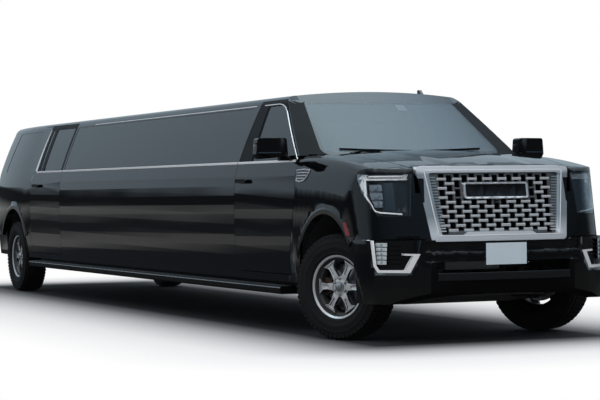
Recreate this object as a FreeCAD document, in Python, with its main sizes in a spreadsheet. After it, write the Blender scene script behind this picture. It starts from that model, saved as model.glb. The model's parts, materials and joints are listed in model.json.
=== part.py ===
"""Stretch limousine on a full-size utility vehicle: body panels, glass, doors, wheels, running gear and cabin.

Lengths are in millimetres. Pieces are drawn with X forward from the front axle, Y to the left and Z up from the
ground. Each piece's Placement then moves it so that the origin lies under the middle of the vehicle.
"""
import FreeCAD, Part
import math
import os
import Sketcher

from FreeCAD import Placement, Rotation, Vector

# Driving sizes: alias, value and what it is
SIZES = [
    ("base_wheelbase", 3406, "axle to axle before the body was lengthened"),
    ("stretch_length", 5334, "length let in behind the front doors"),
    ("front_overhang", 962, "front axle to the foremost point"),
    ("rear_overhang", 1300, "rear axle to the rearmost point"),
    ("wall", 52, "body wall, outer skin to inner trim"),
    ("panel_gap", 6, "shut line between a moving panel and its opening"),
    ("seat_clearance", 0.3, "gap between pieces that seat on each other"),
    ("sill_height", 405, "underside of the body sides"),
    ("sill_half_width", 986, "half width at the sill"),
    ("side_half_width", 1021, "half width at the fullest part of the doors"),
    ("side_fullest_height", 800, "height of the fullest part of the doors"),
    ("crease_half_width", 1012, "half width at the crease under the windows"),
    ("crease_height", 1245, "height of that crease"),
    ("belt_half_width", 986, "half width at the foot of the side glass"),
    ("belt_height", 1352, "foot of the side glass"),
    ("rail_half_width", 800, "half width where the side glass meets the roof rail"),
    ("rail_height", 1835, "height of that line"),
    ("side_glass_bulge", 7, "outward bow of the side glass"),
    ("roof_edge_half_width", 700, "half width of the roof panel"),
    ("roof_edge_height", 1903, "roof height at its edge"),
    ("roof_height", 1937, "roof height on the centre line"),
    ("taper_start", 440, "rear axle forward to where the sides begin to draw in"),
    ("taper_radius", 10400, "plan radius of the sides towards the tail"),
    ("cowl_station", 600, "front axle back to the foot of the front body"),
    ("bonnet_height", 1432, "bonnet height at the cowl"),
    ("bonnet_side_radius", 6735, "side-view radius of the bonnet"),
    ("dome_height", 8, "step of the raised centre of the bonnet"),
    ("dome_half_width", 345, "half width of the raised centre of the bonnet"),
    ("fender_top_half_width", 900, "half width at the inner end of the wing shoulder"),
    ("fender_top_height", 1396, "height of that line at the cowl"),
    ("shoulder_half_width", 963, "half width at the middle of the wing shoulder"),
    ("shoulder_height", 1376, "height of that line at the cowl"),
    ("grille_base_height", 760, "top of the bumper, foot of the grille"),
    ("grille_lean", 0.175, "rearward lean of the grille per unit of height"),
    ("nose_step", 66, "bumper ahead of the foot of the grille"),
    ("screen_base", 400, "front axle back to the windscreen at its reference height"),
    ("screen_base_height", 1400, "reference height of the windscreen"),
    ("screen_rake", 1.5, "rearward run of the windscreen per unit of height"),
    ("screen_plan_radius", 2892, "plan radius of the windscreen"),
    ("screen_thickness", 8, "windscreen glass"),
    ("glass_thickness", 6, "side and rear glass"),
    ("screen_foot_half_width", 800, "half width of the windscreen at its foot"),
    ("screen_head_half_width", 672, "half width of the windscreen at its head"),
    ("screen_head_height", 1858, "height of the head of the windscreen"),
    ("tail_lean", 0.36, "forward lean of the tail above the belt per unit of height"),
    ("arch_radius", 520, "wheel arch opening"),
    ("arch_centre_height", 430, "centre of the wheel arch opening"),
    ("flare_width", 46, "width of the raised lip round the arch"),
    ("flare_depth", 9, "height of that lip over the body side"),
    ("gate_head", 1876, "top edge of the liftgate"),
    ("gate_foot", 650, "bottom edge of the liftgate"),
    ("gate_room", 12, "depth of the liftgate's opening behind its inner face"),
    ("bumper_top", 640, "top of the rear bumper"),
    ("skirt_inner_half_width", 760, "inner edge of the rear bumper's side arms"),
    ("liner_thickness", 10, "wheel arch liner"),
    ("liner_inner_half_width", 560, "inner edge of the wheel arch liner"),
    ("front_door_front", 566, "front axle back to the front door's leading edge"),
    ("front_door_foot_front", 700, "the same at the foot of the door"),
    ("front_door_rear", 1830, "front axle back to the front door's trailing edge"),
    ("door_foot", 470, "foot of the doors"),
    ("door_head", 1866, "head of the doors"),
    ("rear_door_front", 6905, "front axle back to the rear door's leading edge"),
    ("rear_door_rear", 8045, "the same to its trailing edge under the belt"),
    ("rear_door_head_rear", 7935, "the same to its trailing edge above the belt"),
    ("door_inner_half_width", 720, "inner edge of the doors under the roof rail"),
    ("door_shear", 0.34, "slant of the doors' trailing edge, which lets the window frame swing clear"),
    ("handle_height", 1209, "middle of the door handles"),
    ("handle_length", 236, "door handle"),
    ("handle_reach", 34, "door handle, out from the door skin"),
    ("striker_height", 960, "middle of the door strikers"),
    ("window_foot", 1372, "foot of the side windows"),
    ("window_head", 1824, "head of the side windows"),
    ("window_corner", 28, "corner radius of the side windows"),
    ("long_window_front", 1872, "front axle back to the long window's front edge"),
    ("long_window_rear", 6862, "the same to its rear edge"),
    ("quarter_window_front", 8230, "the same to the quarter window's front edge"),
    ("quarter_window_rear", 9400, "the same to its rear edge"),
    ("front_axle_track", 1742, "front track"),
    ("rear_axle_track", 1738, "rear track"),
    ("tyre_radius", 401, "tyre outside radius"),
    ("tyre_width", 265, "tyre section width"),
    ("rim_radius", 247, "outer radius of the rim flange"),
    ("rim_width", 215, "rim over its flanges"),
    ("hub_radius", 78, "wheel centre pad"),
    ("spoke_count", 6, "wheel spokes"),
    ("disc_radius", 168, "brake disc"),
    ("disc_thickness", 30, "brake disc"),
    ("kingpin_half_track", 795, "steering axis from the centre line"),
    ("steer_rest", 26, "degrees the front wheels are turned to the left at rest"),
    ("rail_inner", 395, "inner face of the chassis rails"),
    ("rail_width", 76, "chassis rail"),
    ("rail_foot", 330, "underside of the chassis rails"),
    ("rail_depth", 130, "depth of the chassis rails"),
    ("rail_hump", 176, "rise of the rails over the rear axle"),
    ("floor_height", 470, "underside of the cabin floor"),
    ("floor_thickness", 40, "cabin floor"),
    ("rear_floor_height", 668, "underside of the luggage floor over the rear axle"),
    ("board_half_width", 1052, "outer edge of the running boards"),
    ("board_top", 372, "top of the running boards"),
    ("board_thickness", 62, "running board"),
    ("plate_foot", 574, "foot of the number plate"),
    ("mirror_back", 130, "door mirror behind the door's leading edge"),
    ("mirror_foot", 1375, "underside of the door mirrors"),
    ("mirror_height", 165, "door mirror housing"),
    ("mirror_width", 262, "door mirror housing"),
    ("mirror_depth", 120, "door mirror housing, front to back"),
    ("mirror_inner_half_width", 1030, "inner edge of the door mirrors"),
    ("cowl_width", 66, "windscreen to the front edge of the cowl panel"),
    ("bonnet_front", 752, "front edge of the bonnet's opening"),
    ("bonnet_lip", 742, "leading edge of the bonnet"),
    ("bonnet_edge_height", 1240, "lowest point of the bonnet's leading edge"),
    ("bonnet_front_half_width", 646, "half width of the bonnet at its leading edge"),
    ("bonnet_rear_half_width", 872, "half width of the bonnet at the cowl"),
    ("bumper_foot", 300, "underside of the front bumper"),
    ("mesh_row_pitch", 34, "grille mesh, row to row"),
    ("mesh_cell_pitch", 124, "grille mesh, bar to bar"),
    ("mesh_bar_length", 77, "grille mesh bar"),
    ("mesh_bar_height", 12, "grille mesh bar"),
    ("mesh_margin", 26, "solid border of the mesh"),
    ("mesh_depth", 16, "depth of the mesh"),
    ("comb_tooth_pitch", 20.6, "teeth beside the grille mesh, tooth to tooth"),
    ("comb_tooth_height", 9, "tooth of that comb"),
    ("plaque_half_width", 268, "blank plaque on the grille"),
    ("plaque_foot", 1054, "underside of the plaque"),
    ("plaque_height", 121, "blank plaque on the grille"),
    ("plaque_rim", 14, "raised rim round the plaque"),
    ("lamp_cover", 6, "clear cover of the headlamps"),
    ("lamp_rim", 7, "wall of the headlamp housing"),
    ("light_guide", 11, "light guide bars in the headlamps"),
    ("bezel_depth", 30, "depth of the lower bezels' recess"),
    ("fog_cell_pitch", 31, "cells of the lower lamps, one over the other"),
    ("bumper_step", 9, "setback of the bumper over and under its middle bar"),
    ("spoke_pocket", 9, "depth of the pocket in each spoke"),
    ("lug_radius", 60, "circle of the wheel nuts"),
    ("eye_radius", 34, "suspension arm eye"),
    ("pin_radius", 16, "steering pin"),
    ("pin_clearance", 0.05, "running clearance round a pin"),
    ("lower_arm_height", 262, "underside of the lower arms at the wheel"),
    ("upper_arm_height", 512, "underside of the upper arms at the wheel"),
    ("arm_thickness", 26, "suspension arm"),
    ("stub_radius", 30, "stub axle"),
    ("caliper_radius", 188, "outer face of the brake calipers"),
    ("subframe_foot", 258, "underside of the front subframe"),
    ("subframe_half_length", 190, "half length of the front subframe"),
    ("engine_front", 440, "front face of the engine, ahead of the front axle"),
    ("engine_length", 820, "engine block"),
    ("engine_width", 460, "engine block"),
    ("engine_height", 420, "engine block"),
    ("engine_foot", 520, "underside of the engine"),
    ("bell_length", 220, "bell housing"),
    ("bell_half_width", 180, "half width of the bell housing"),
    ("bell_foot", 330, "underside of the bell housing"),
    ("bell_height", 370, "bell housing"),
    ("gearbox_length", 580, "gearbox case"),
    ("gearbox_width", 300, "gearbox case"),
    ("gearbox_foot", 270, "underside of the gearbox"),
    ("gearbox_height", 192, "gearbox case"),
    ("firewall_front", 526, "front axle back to the firewall"),
    ("firewall_thickness", 30, "firewall"),
    ("firewall_head", 1330, "top of the firewall"),
    ("axle_tube_radius", 48, "rear axle tube"),
    ("air_spring_radius", 58, "rear air springs"),
    ("exhaust_radius", 32, "exhaust pipe"),
    ("exhaust_half_width", 330, "exhaust pipe from the centre line"),
    ("silencer_radius", 75, "silencer"),
    ("tank_length", 1060, "fuel tank"),
    ("tank_front", 6370, "front axle back to the fuel tank"),
    ("tank_foot", 270, "underside of the fuel tank"),
]

doc = FreeCAD.newDocument("stretch_limousine")
sheet = doc.addObject("Spreadsheet::Sheet", "Sizes")
for row, (alias, value, note) in enumerate(SIZES, start=1):
    sheet.set(f"A{row}", alias)
    sheet.set(f"B{row}", str(value))
    sheet.set(f"C{row}", note)
    sheet.setAlias(f"B{row}", alias)
doc.recompute()


class Length:
    """A number from the sheet together with the expression that gives it."""

    def __init__(self, number, text):
        self.number = float(number)
        self.text = text

    @staticmethod
    def of(value):
        return value if isinstance(value, Length) else Length(value, str(value))

    def __add__(self, other):
        other = Length.of(other)
        return Length(self.number + other.number, f"({self.text} + {other.text})")

    def __sub__(self, other):
        other = Length.of(other)
        return Length(self.number - other.number, f"({self.text} - {other.text})")

    def __mul__(self, other):
        other = Length.of(other)
        return Length(self.number * other.number, f"({self.text} * {other.text})")

    def __truediv__(self, other):
        other = Length.of(other)
        return Length(self.number / other.number, f"({self.text} / {other.text})")

    def __neg__(self):
        return Length(-self.number, f"(-{self.text})")

    __radd__ = __add__
    __rmul__ = __mul__

    def __rsub__(self, other):
        return Length.of(other) - self


def cell(alias):
    """The sheet's value as a number bound to its cell."""
    return Length(sheet.get(alias), f"Sizes.{alias}")


def size(alias):
    """The sheet's value as a plain number."""
    return float(sheet.get(alias))


WHEELBASE = size("base_wheelbase") + size("stretch_length")
REAR_AXLE = -WHEELBASE
TOTAL_LENGTH = size("front_overhang") + WHEELBASE + size("rear_overhang")
FRONT_AXLE_PLACE = TOTAL_LENGTH / 2 - size("front_overhang")
TAIL = REAR_AXLE - size("rear_overhang")
TAIL_REACH = TAIL + 45
GAP = size("panel_gap")
FIT = size("seat_clearance")
WALL = size("wall")
FRAME_SHIFT = Vector(FRONT_AXLE_PLACE, 0, 0)
parts = []


# Wires, prisms and pieces

def place_expression(obj):
    """Binds a piece's place along X to the overall length."""
    overall = "(Sizes.front_overhang + Sizes.base_wheelbase + Sizes.stretch_length + Sizes.rear_overhang)"
    obj.setExpression("Placement.Base.x", f"{overall} / 2 - Sizes.front_overhang")


def piece(name, shape):
    """Keeps a shape worked out from the sheet's sizes as one named piece."""
    obj = doc.addObject("Part::Feature", name)
    obj.Label = name
    if not shape.Placement.isIdentity():
        shape = Part.makeCompound([shape])
    obj.Shape = shape
    obj.Placement = Placement(FRAME_SHIFT, Rotation())
    place_expression(obj)
    parts.append(obj)
    return obj


def rounded(points, radius):
    """Closed wire through the points with each corner rounded."""
    count = len(points)
    edges = []
    starts = []
    ends = []
    for index in range(count):
        corner = points[index]
        to_last = (points[index - 1] - corner).normalize()
        to_next = (points[(index + 1) % count] - corner).normalize()
        half_angle = to_last.getAngle(to_next) / 2
        reach = radius / math.tan(half_angle)
        bisector = (to_last + to_next).normalize()
        starts.append(corner + to_last * reach)
        ends.append(corner + to_next * reach)
        middle = corner + bisector * (radius / math.sin(half_angle) - radius)
        edges.append(Part.Arc(starts[-1], middle, ends[-1]).toShape())
    lines = [Part.makeLine(ends[index], starts[(index + 1) % count]) for index in range(count)]
    ordered = []
    for arc, line in zip(edges, lines):
        ordered += [arc, line]
    return Part.Wire(ordered)


def side_points(pairs):
    """Points of a side view, given as X and Z."""
    return [Vector(x, 0, z) for x, z in pairs]


def front_points(pairs):
    """Points of a front view, given as Y and Z."""
    return [Vector(0, y, z) for y, z in pairs]


def side_prism(pairs, low, high, radius=0):
    """Solid whose side view is the outline, from Y low to Y high."""
    points = side_points(pairs)
    wire = rounded(points, radius) if radius else Part.makePolygon(points + points[:1])
    solid = Part.Face(wire).extrude(Vector(0, high - low, 0))
    solid.translate(Vector(0, low, 0))
    return solid


def front_prism(pairs, low, high, radius=0):
    """Solid whose front view is the outline, from X low to X high."""
    points = front_points(pairs)
    wire = rounded(points, radius) if radius else Part.makePolygon(points + points[:1])
    solid = Part.Face(wire).extrude(Vector(high - low, 0, 0))
    solid.translate(Vector(low, 0, 0))
    return solid


def plan_prism(pairs, low, high, radius=0):
    """Solid whose plan is the outline, from Z low to Z high."""
    points = [Vector(x, y, low) for x, y in pairs]
    wire = rounded(points, radius) if radius else Part.makePolygon(points + points[:1])
    return Part.Face(wire).extrude(Vector(0, 0, high - low))


def span(x_low, x_high, y_low, y_high, z_low, z_high):
    """Box between two corners."""
    return Part.makeBox(x_high - x_low, y_high - y_low, z_high - z_low, Vector(x_low, y_low, z_low))


def across(x, z, radius, y_low, y_high):
    """Cylinder along Y."""
    return Part.makeCylinder(radius, y_high - y_low, Vector(x, y_low, z), Vector(0, 1, 0))


def mirrored(shape):
    """The same shape on the other side of the vehicle."""
    return shape.mirror(Vector(0, 0, 0), Vector(0, 1, 0))


def biggest(shape):
    """The largest solid of a cut shape, without its crumbs."""
    return max(shape.Solids, key=lambda solid: solid.Volume)


def arc_through(start, middle, end):
    return Part.Arc(start, middle, end).toShape()


def middle_of(start, end, bulge):
    """Middle of a chord, moved out by the bulge in the front view."""
    chord = end - start
    normal = Vector(0, chord.z, -chord.y).normalize()
    return (start + end) * 0.5 + normal * bulge


def mirrored_edges(edges):
    return [edge.mirror(Vector(0, 0, 0), Vector(0, 1, 0)) for edge in edges]


# Body forms, as solid volumes at a chosen inset from the outer skin

def cabin_section():
    """Front-view outline of the cabin: sill, full doors, crease, leaning glass, roof rail and crowned roof."""
    sill = Vector(0, size("sill_half_width"), size("sill_height"))
    fullest = Vector(0, size("side_half_width"), size("side_fullest_height"))
    crease = Vector(0, size("crease_half_width"), size("crease_height"))
    belt = Vector(0, size("belt_half_width"), size("belt_height"))
    rail = Vector(0, size("rail_half_width"), size("rail_height"))
    roof_edge = Vector(0, size("roof_edge_half_width"), size("roof_edge_height"))
    crown = Vector(0, 0, size("roof_height"))
    far_edge = Vector(0, -roof_edge.y, roof_edge.z)
    left = [
        arc_through(sill, fullest, crease),
        Part.makeLine(crease, belt),
        arc_through(belt, middle_of(belt, rail, size("side_glass_bulge")), rail),
        arc_through(rail, middle_of(rail, roof_edge, 20), roof_edge),
    ]
    roof = arc_through(roof_edge, crown, far_edge)
    floor = Part.makeLine(Vector(0, -sill.y, sill.z), sill)
    return Part.Wire(Part.__sortEdges__(left + [roof, floor] + mirrored_edges(left)))


def front_section(inset):
    """Front-view outline at the cowl: sill, side, soft wing shoulder and bonnet with its raised centre.

    The inside of the bonnet follows it without the step of the raised centre.
    """
    sill = Vector(0, size("sill_half_width") - inset, size("sill_height") - 120)
    fullest = Vector(0, size("side_half_width") - inset, size("side_fullest_height"))
    crease = Vector(0, size("crease_half_width") - inset, size("crease_height") - inset / 2)
    under = Vector(0, size("belt_half_width") + 7 - inset, size("belt_height") - 22 - inset * 0.8)
    shoulder = Vector(0, size("shoulder_half_width") - inset * 0.8, size("shoulder_height") - inset * 0.9)
    wing_top = Vector(0, size("fender_top_half_width") - inset * 0.5, size("fender_top_height") - inset)
    dome_foot = Vector(0, size("dome_half_width") + 22, size("bonnet_height") - 5 - inset)
    wing_middle = Vector(0, (wing_top.y + dome_foot.y) / 2, wing_top.z + (dome_foot.z - wing_top.z) * 0.68)
    left = [
        arc_through(sill, fullest, crease),
        Part.makeLine(crease, under),
        arc_through(under, shoulder, wing_top),
        arc_through(wing_top, wing_middle, dome_foot),
    ]
    centre_edge = dome_foot
    if not inset:
        centre_edge = Vector(0, size("dome_half_width"), dome_foot.z + size("dome_height"))
        left.append(Part.makeLine(dome_foot, centre_edge))
    crown = Vector(0, 0, centre_edge.z + 5)
    centre = arc_through(centre_edge, crown, Vector(0, -centre_edge.y, centre_edge.z))
    floor = Part.makeLine(Vector(0, -sill.y, sill.z), sill)
    return Part.Wire(Part.__sortEdges__(left + [centre, floor] + mirrored_edges(left)))


def section_face(wire, inset):
    """Face inside the section, drawn in by the inset."""
    if inset:
        wire = wire.makeOffset2D(-inset, 2)
    return Part.Face(wire)


def left_half(face):
    """The part of a front-view face on the left of the vehicle."""
    half = Part.Face(Part.makePolygon(front_points([(0, -300), (1500, -300), (1500, 2500), (0, 2500), (0, -300)])))
    return face.common(half)


def cabin_volume(inset):
    """Cabin from the cowl to the tail, its sides drawing in towards the tail on a large plan radius."""
    half = left_half(section_face(cabin_section(), inset)).Faces[0]
    start = REAR_AXLE + size("taper_start")
    half.translate(Vector(start, 0, 0))
    straight = half.extrude(Vector(-start - 290, 0, 0))
    axis = Vector(start, size("belt_half_width") - size("taper_radius"), 0)
    sweep = math.degrees(math.asin((start - TAIL + 150) / size("taper_radius")))
    tail = half.revolve(axis, Vector(0, 0, 1), sweep)
    left = straight.fuse(tail)
    return left.fuse(mirrored(left)).removeSplitter()


def screen_volume(inset):
    """Everything behind the curved, raked windscreen."""
    radius = size("screen_plan_radius")
    low, high = 300.0, 2100.0
    lean = size("screen_rake")
    depth = inset * math.hypot(1, lean)
    front = -size("screen_base") + (size("screen_base_height") - low) * lean - depth
    sag = radius - math.sqrt(radius ** 2 - 1200 ** 2)
    ends = [Vector(front - sag, 1200, low), Vector(front - sag, -1200, low)]
    arc = arc_through(ends[0], Vector(front, 0, low), ends[1])
    back = [Vector(-14000, -1200, low), Vector(-14000, 1200, low)]
    wire = Part.Wire([arc, Part.makeLine(ends[1], back[0]), Part.makeLine(back[0], back[1]),
                      Part.makeLine(back[1], ends[0])])
    return Part.Face(wire).extrude(Vector(-lean * (high - low), 0, high - low))


def smooth_plan(points, back, low):
    """Plan face: a smooth curve through the points, mirrored, closed along the line at X back."""
    left = [Vector(x, y, low) for x, y in points]
    right = [Vector(x, -y, low) for x, y in points[:0:-1]]
    curve = Part.BSplineCurve()
    curve.interpolate(right + left)
    first = Vector(back, right[0].y, low)
    last = Vector(back, left[-1].y, low)
    edges = [curve.toShape(), Part.makeLine(left[-1], last), Part.makeLine(last, first),
             Part.makeLine(first, right[0])]
    return Part.Face(Part.Wire(edges))


def nose_plan(inset, reach, low):
    """Plan of the nose: nearly flat across the grille, round at the lamps, straight along the wings."""
    outline = [(reach, 0), (reach - 9, 330), (reach - 34, 600), (reach - 84, 775), (reach - 176, 915),
               (reach - 300, 990), (reach - 440, 1016), (reach - 620, 1026), (reach - 900, 1032)]
    drawn_in = [(x - inset, y * (1 - inset / 1032)) for x, y in outline]
    return smooth_plan(drawn_in, -1400 - inset, low)


def nose_volume(inset):
    """Leaning upper nose with the lamps and grille, over an upright bumper."""
    base = size("grille_base_height")
    upper_reach = size("front_overhang") - 4 - size("nose_step")
    rise = 700
    upper = nose_plan(inset, upper_reach, base).extrude(Vector(-size("grille_lean") * rise, 0, rise))
    lower = nose_plan(inset, size("front_overhang") - 4, 150).extrude(Vector(0, 0, base - 150))
    return upper.fuse(lower)


def front_volume(inset):
    """Wings, bonnet and nose ahead of the cowl, the bonnet falling forward on a large radius."""
    face = Part.Face(front_section(inset))
    station = -size("cowl_station")
    face.translate(Vector(station, 0, 0))
    axis = Vector(station, 0, size("bonnet_height") - size("bonnet_side_radius"))
    return face.revolve(axis, Vector(0, 1, 0), 15).common(nose_volume(inset))


def tail_plan(inset, reach, low):
    """Plan of the tail: gently curved across, with round corners."""
    outline = [(reach, 0), (reach + 14, 420), (reach + 46, 680), (reach + 110, 830), (reach + 220, 925),
               (reach + 420, 985), (reach + 800, 1030)]
    drawn_in = [(x + inset, y * (1 - inset / 1030)) for x, y in outline]
    return smooth_plan(drawn_in, 2000, low)


def tail_volume(inset):
    """Upright tail under the belt and a tail leaning forward over it."""
    belt = size("belt_height")
    rise = 900
    lower = tail_plan(inset, TAIL_REACH, 100).extrude(Vector(0, 0, belt - 100))
    upper = tail_plan(inset, TAIL_REACH, belt).extrude(Vector(size("tail_lean") * rise, 0, rise))
    return lower.fuse(upper)


def cabin_shell():
    """Cabin walls and roof, one wall thick."""
    outer = cabin_volume(0).common(screen_volume(0)).common(tail_volume(0))
    inner = cabin_volume(WALL).common(screen_volume(WALL)).common(tail_volume(WALL))
    hollow = inner.fuse(span(TAIL + 400, 0, -900, 900, size("sill_height") - 50, size("sill_height") + 100))
    return outer.cut(hollow)


def front_shell():
    """Bonnet, wings and nose, one wall thick."""
    outer = front_volume(0)
    inner = front_volume(WALL).fuse(span(-700, 700, -900, 900, 200, 500))
    return outer.cut(inner)


def arch_cut(axle):
    """The left wheel's opening."""
    return across(axle, size("arch_centre_height"), size("arch_radius"), 400, 1300)


def flare(axle, half_width):
    """Raised lip round the left arch, chamfered on its outer edge."""
    outer_radius = size("arch_radius") + size("flare_width")
    depth = size("flare_depth")
    height = size("arch_centre_height")
    ring = across(axle, height, outer_radius, half_width - WALL + 10, half_width + depth - 4)
    rim = Part.makeCone(outer_radius, outer_radius - 12, 4, Vector(axle, half_width + depth - 4, height),
                        Vector(0, 1, 0))
    return ring.fuse(rim).cut(arch_cut(axle))


print("body forms")
SHELL = cabin_shell()
FRONT = front_shell()
LEFT_SIDE = span(-12000, 2000, 0, 1500, 0, 2500)
BELT = size("belt_height")
HEAD = size("door_head")
PILLAR_RAKE = 1.34
BEYOND = 30


# Door outlines in the side view, as X and Z

def front_door_outline(grow):
    """Leading edge, slanting window frame along the windscreen pillar, head, trailing edge and foot."""
    front = -size("front_door_front") + grow
    foot_front = -size("front_door_foot_front") + grow
    rear = -size("front_door_rear") - BEYOND
    foot = size("door_foot") - grow
    head = HEAD + grow
    head_front = front - (head - BELT - 22) * PILLAR_RAKE + grow
    return [(front, BELT + 22), (front, 1060), (foot_front, 600), (foot_front, foot), (rear, foot), (rear, head),
            (head_front, head)]


def rear_door_body(grow):
    """Rear door up to the foot of its window frame."""
    front = -size("rear_door_front") + grow
    rear = -size("rear_door_rear") - BEYOND
    head_rear = -size("rear_door_head_rear") - grow
    foot = size("door_foot") - grow
    frame_foot = BELT + 40
    return [(front, frame_foot), (front, foot), (rear, foot), (rear, size("crease_height") + 20),
            (head_rear, frame_foot)]


def rear_door_frame(grow):
    """Window frame of the rear door."""
    front = -size("rear_door_front") + grow
    rear = -size("rear_door_head_rear") - BEYOND
    return [(front, BELT + 39), (rear, BELT + 39), (rear, HEAD + grow), (front, HEAD + grow)]


def slanted_prism(outline, rear, half_width, inner):
    """The outline from an inner half width out through the body side.

    Its trailing edge, at X rear on the given half width, slants outward to the rear.
    """
    outer = 1200
    shear = size("door_shear")
    plan = [(3000, inner), (rear + (half_width - inner) * shear, inner), (rear + (half_width - outer) * shear, outer),
            (3000, outer)]
    return side_prism(outline, inner, outer).common(plan_prism(plan, 0, 2400))


def front_door_tool(grow, inner):
    rear = -size("front_door_rear") - grow
    return slanted_prism(front_door_outline(grow), rear, size("side_half_width"), inner)


def rear_door_tool(grow, inner):
    body = slanted_prism(rear_door_body(grow), -size("rear_door_rear") - grow, size("side_half_width"), inner)
    frame_rear = -size("rear_door_head_rear") - grow
    return body.fuse(slanted_prism(rear_door_frame(grow), frame_rear, size("belt_half_width"), inner))


DOOR_INNER = size("door_inner_half_width")
OPENING_INNER = size("roof_edge_half_width") - 10
FRONT_DOOR = front_door_tool(0, DOOR_INNER)
FRONT_OPENING = front_door_tool(GAP, OPENING_INNER)
REAR_DOOR = rear_door_tool(0, DOOR_INNER)
REAR_OPENING = rear_door_tool(GAP, OPENING_INNER)


# Windows in the side view, as X and Z

def front_window(grow):
    front = -size("front_door_front") - 44
    foot = size("window_foot") - grow
    head = size("window_head") + grow
    head_front = front - (size("window_head") - size("window_foot")) * PILLAR_RAKE
    return [(front + grow * 2, foot), (-1515 - grow, foot), (-1545 - grow, head), (head_front + grow, head)]


def rear_window(grow):
    foot = size("window_foot") - grow
    head = size("window_head") + grow
    front = -size("rear_door_front") - 62 + grow
    return [(front, foot), (-7770 - grow, foot), (-7790 - grow, head), (front, head)]


def long_window(grow):
    foot = size("window_foot") - grow
    head = size("window_head") + grow
    return [(-size("long_window_front") + grow, foot), (-size("long_window_rear") - grow, foot),
            (-size("long_window_rear") - grow, head), (-size("long_window_front") + grow, head)]


def quarter_window(grow):
    foot = size("window_foot") - grow
    head = size("window_head") + grow
    front = -size("quarter_window_front") + grow
    rear = -size("quarter_window_rear") - grow
    return [(front, foot), (rear, foot), (rear + 130, head), (front + 60, head)]


def pane_layer(outer_inset):
    """Thin skin of the cabin sides from which the side glass is cut."""
    return cabin_volume(outer_inset).cut(cabin_volume(outer_inset + size("glass_thickness")))


print("glass")
SKIN = pane_layer(3)


def pane(outline_maker):
    """One left pane, seated in its opening."""
    tool = side_prism(outline_maker(-FIT), 500, 1200, size("window_corner"))
    return biggest(SKIN.common(tool))


def opening(outline_maker):
    return side_prism(outline_maker(0), 500, 1200, size("window_corner"))


# Windscreen and the parts round it

def screen_outline(grow):
    foot = size("screen_base_height") + 8 - grow
    head = size("screen_head_height") + grow
    return [(size("screen_foot_half_width") + grow, foot), (size("screen_head_half_width") + grow, head),
            (-size("screen_head_half_width") - grow, head), (-size("screen_foot_half_width") - grow, foot)]


def windscreen():
    layer = screen_volume(0).cut(screen_volume(size("screen_thickness")))
    tool = front_prism(screen_outline(-FIT), -1500, -300, 45)
    return biggest(layer.common(tool))


SCREEN_OPENING = front_prism(screen_outline(0), -1500, -300, 45)
ROOF_CUT = span(-12000, 0, -size("roof_edge_half_width"), size("roof_edge_half_width"), 1840, 2100).cut(
    SCREEN_OPENING)


# Liftgate at the tail

def gate_outline(grow):
    head = size("gate_head") + grow
    foot = size("gate_foot") - 100
    return [(800 + grow, foot), (800 + grow, 1290), (752 + grow, 1500), (640 + grow, head), (-640 - grow, head),
            (-752 - grow, 1500), (-800 - grow, 1290), (-800 - grow, foot)]


def gate_window(grow):
    return [(735 + grow, 1365 - grow), (620 + grow, 1790 + grow), (-620 - grow, 1790 + grow),
            (-735 - grow, 1365 - grow)]


def gate_prism(pairs):
    """Prism along the way the gate leaves its opening: square to the leaning tail.

    The outline is given where it lies on the tail's outer surface.
    """
    lean = size("tail_lean")
    start, length = -240, 700
    points = [Vector(TAIL_REACH + start, y, z + lean * (lean * max(0.0, z - BELT) - start)) for y, z in pairs]
    return Part.Face(Part.makePolygon(points + points[:1])).extrude(Vector(length, 0, -lean * length))


def tail_wall(proud, depth):
    """The tail's wall, from outside its outer surface to a depth behind it."""
    return tail_volume(-proud).cut(tail_volume(depth))


def above(height):
    """Room over a height at the tail."""
    return span(TAIL - 300, TAIL + 1000, -1300, 1300, height, 2200)


GATE_TOOL = gate_prism(gate_outline(0)).common(tail_wall(5, WALL)).common(above(size("gate_foot")))
GATE_OPENING = gate_prism(gate_outline(GAP)).common(tail_wall(5, WALL + size("gate_room"))).common(
    above(size("bumper_top") - 10))
GATE_WINDOW_REACH = TAIL + 400
TAIL_LAMP_REACH = TAIL + 260


def tail_lamp_outline(shrink):
    return [(812 + shrink, 960 + shrink), (1100, 960 + shrink), (1100, 1335 - shrink), (812 + shrink, 1335 - shrink)]


TAIL_LAMP_TOOL = front_prism(tail_lamp_outline(0), TAIL - 200, TAIL_LAMP_REACH)


def striker(rear):
    """Left door striker: a block on the trailing face of the opening that the shut door rests against."""
    height = size("striker_height")
    shear = size("door_shear")
    outer = size("side_half_width") - 14
    inner = outer - 30
    door_rear = rear - FIT * math.hypot(1, shear)
    opening_rear = rear - GAP - 1
    plan = [(x + (size("side_half_width") - y) * shear, y) for x, y in [
        (door_rear, inner), (door_rear, outer), (opening_rear, outer), (opening_rear, inner)]]
    return plan_prism(plan, height - 25, height + 25)


print("body sides")
side_arch = arch_cut(REAR_AXLE)
bumper_split = span(TAIL - 300, REAR_AXLE - 300, -1300, 1300, 0, size("bumper_top"))
cowl_cut = span(-700, 400, -1300, 900, 0, size("screen_base_height") + 9)
front_of_door = span(-size("front_door_front") - 200, 400, 0, 1300, 0, size("fender_top_height") + 4)
side_left = SHELL.common(LEFT_SIDE)
for tool in (ROOF_CUT, SCREEN_OPENING, GATE_OPENING, FRONT_OPENING, REAR_OPENING, opening(long_window),
             opening(quarter_window), side_arch, bumper_split, TAIL_LAMP_TOOL, cowl_cut, front_of_door):
    side_left = side_left.cut(tool)
side_left = biggest(side_left)
rear_flare = flare(REAR_AXLE, size("side_half_width")).common(span(-12000, 0, 960, 1300, 640, 1300))
strikers = [striker(-size("front_door_rear")), striker(-size("rear_door_rear"))]
side_left = biggest(side_left.fuse([rear_flare] + strikers))
piece("body_side_left", side_left)
piece("body_side_right", mirrored(side_left))

roof = biggest(SHELL.common(ROOF_CUT).cut(GATE_OPENING))
piece("roof_panel", roof)

print("doors")


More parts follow.
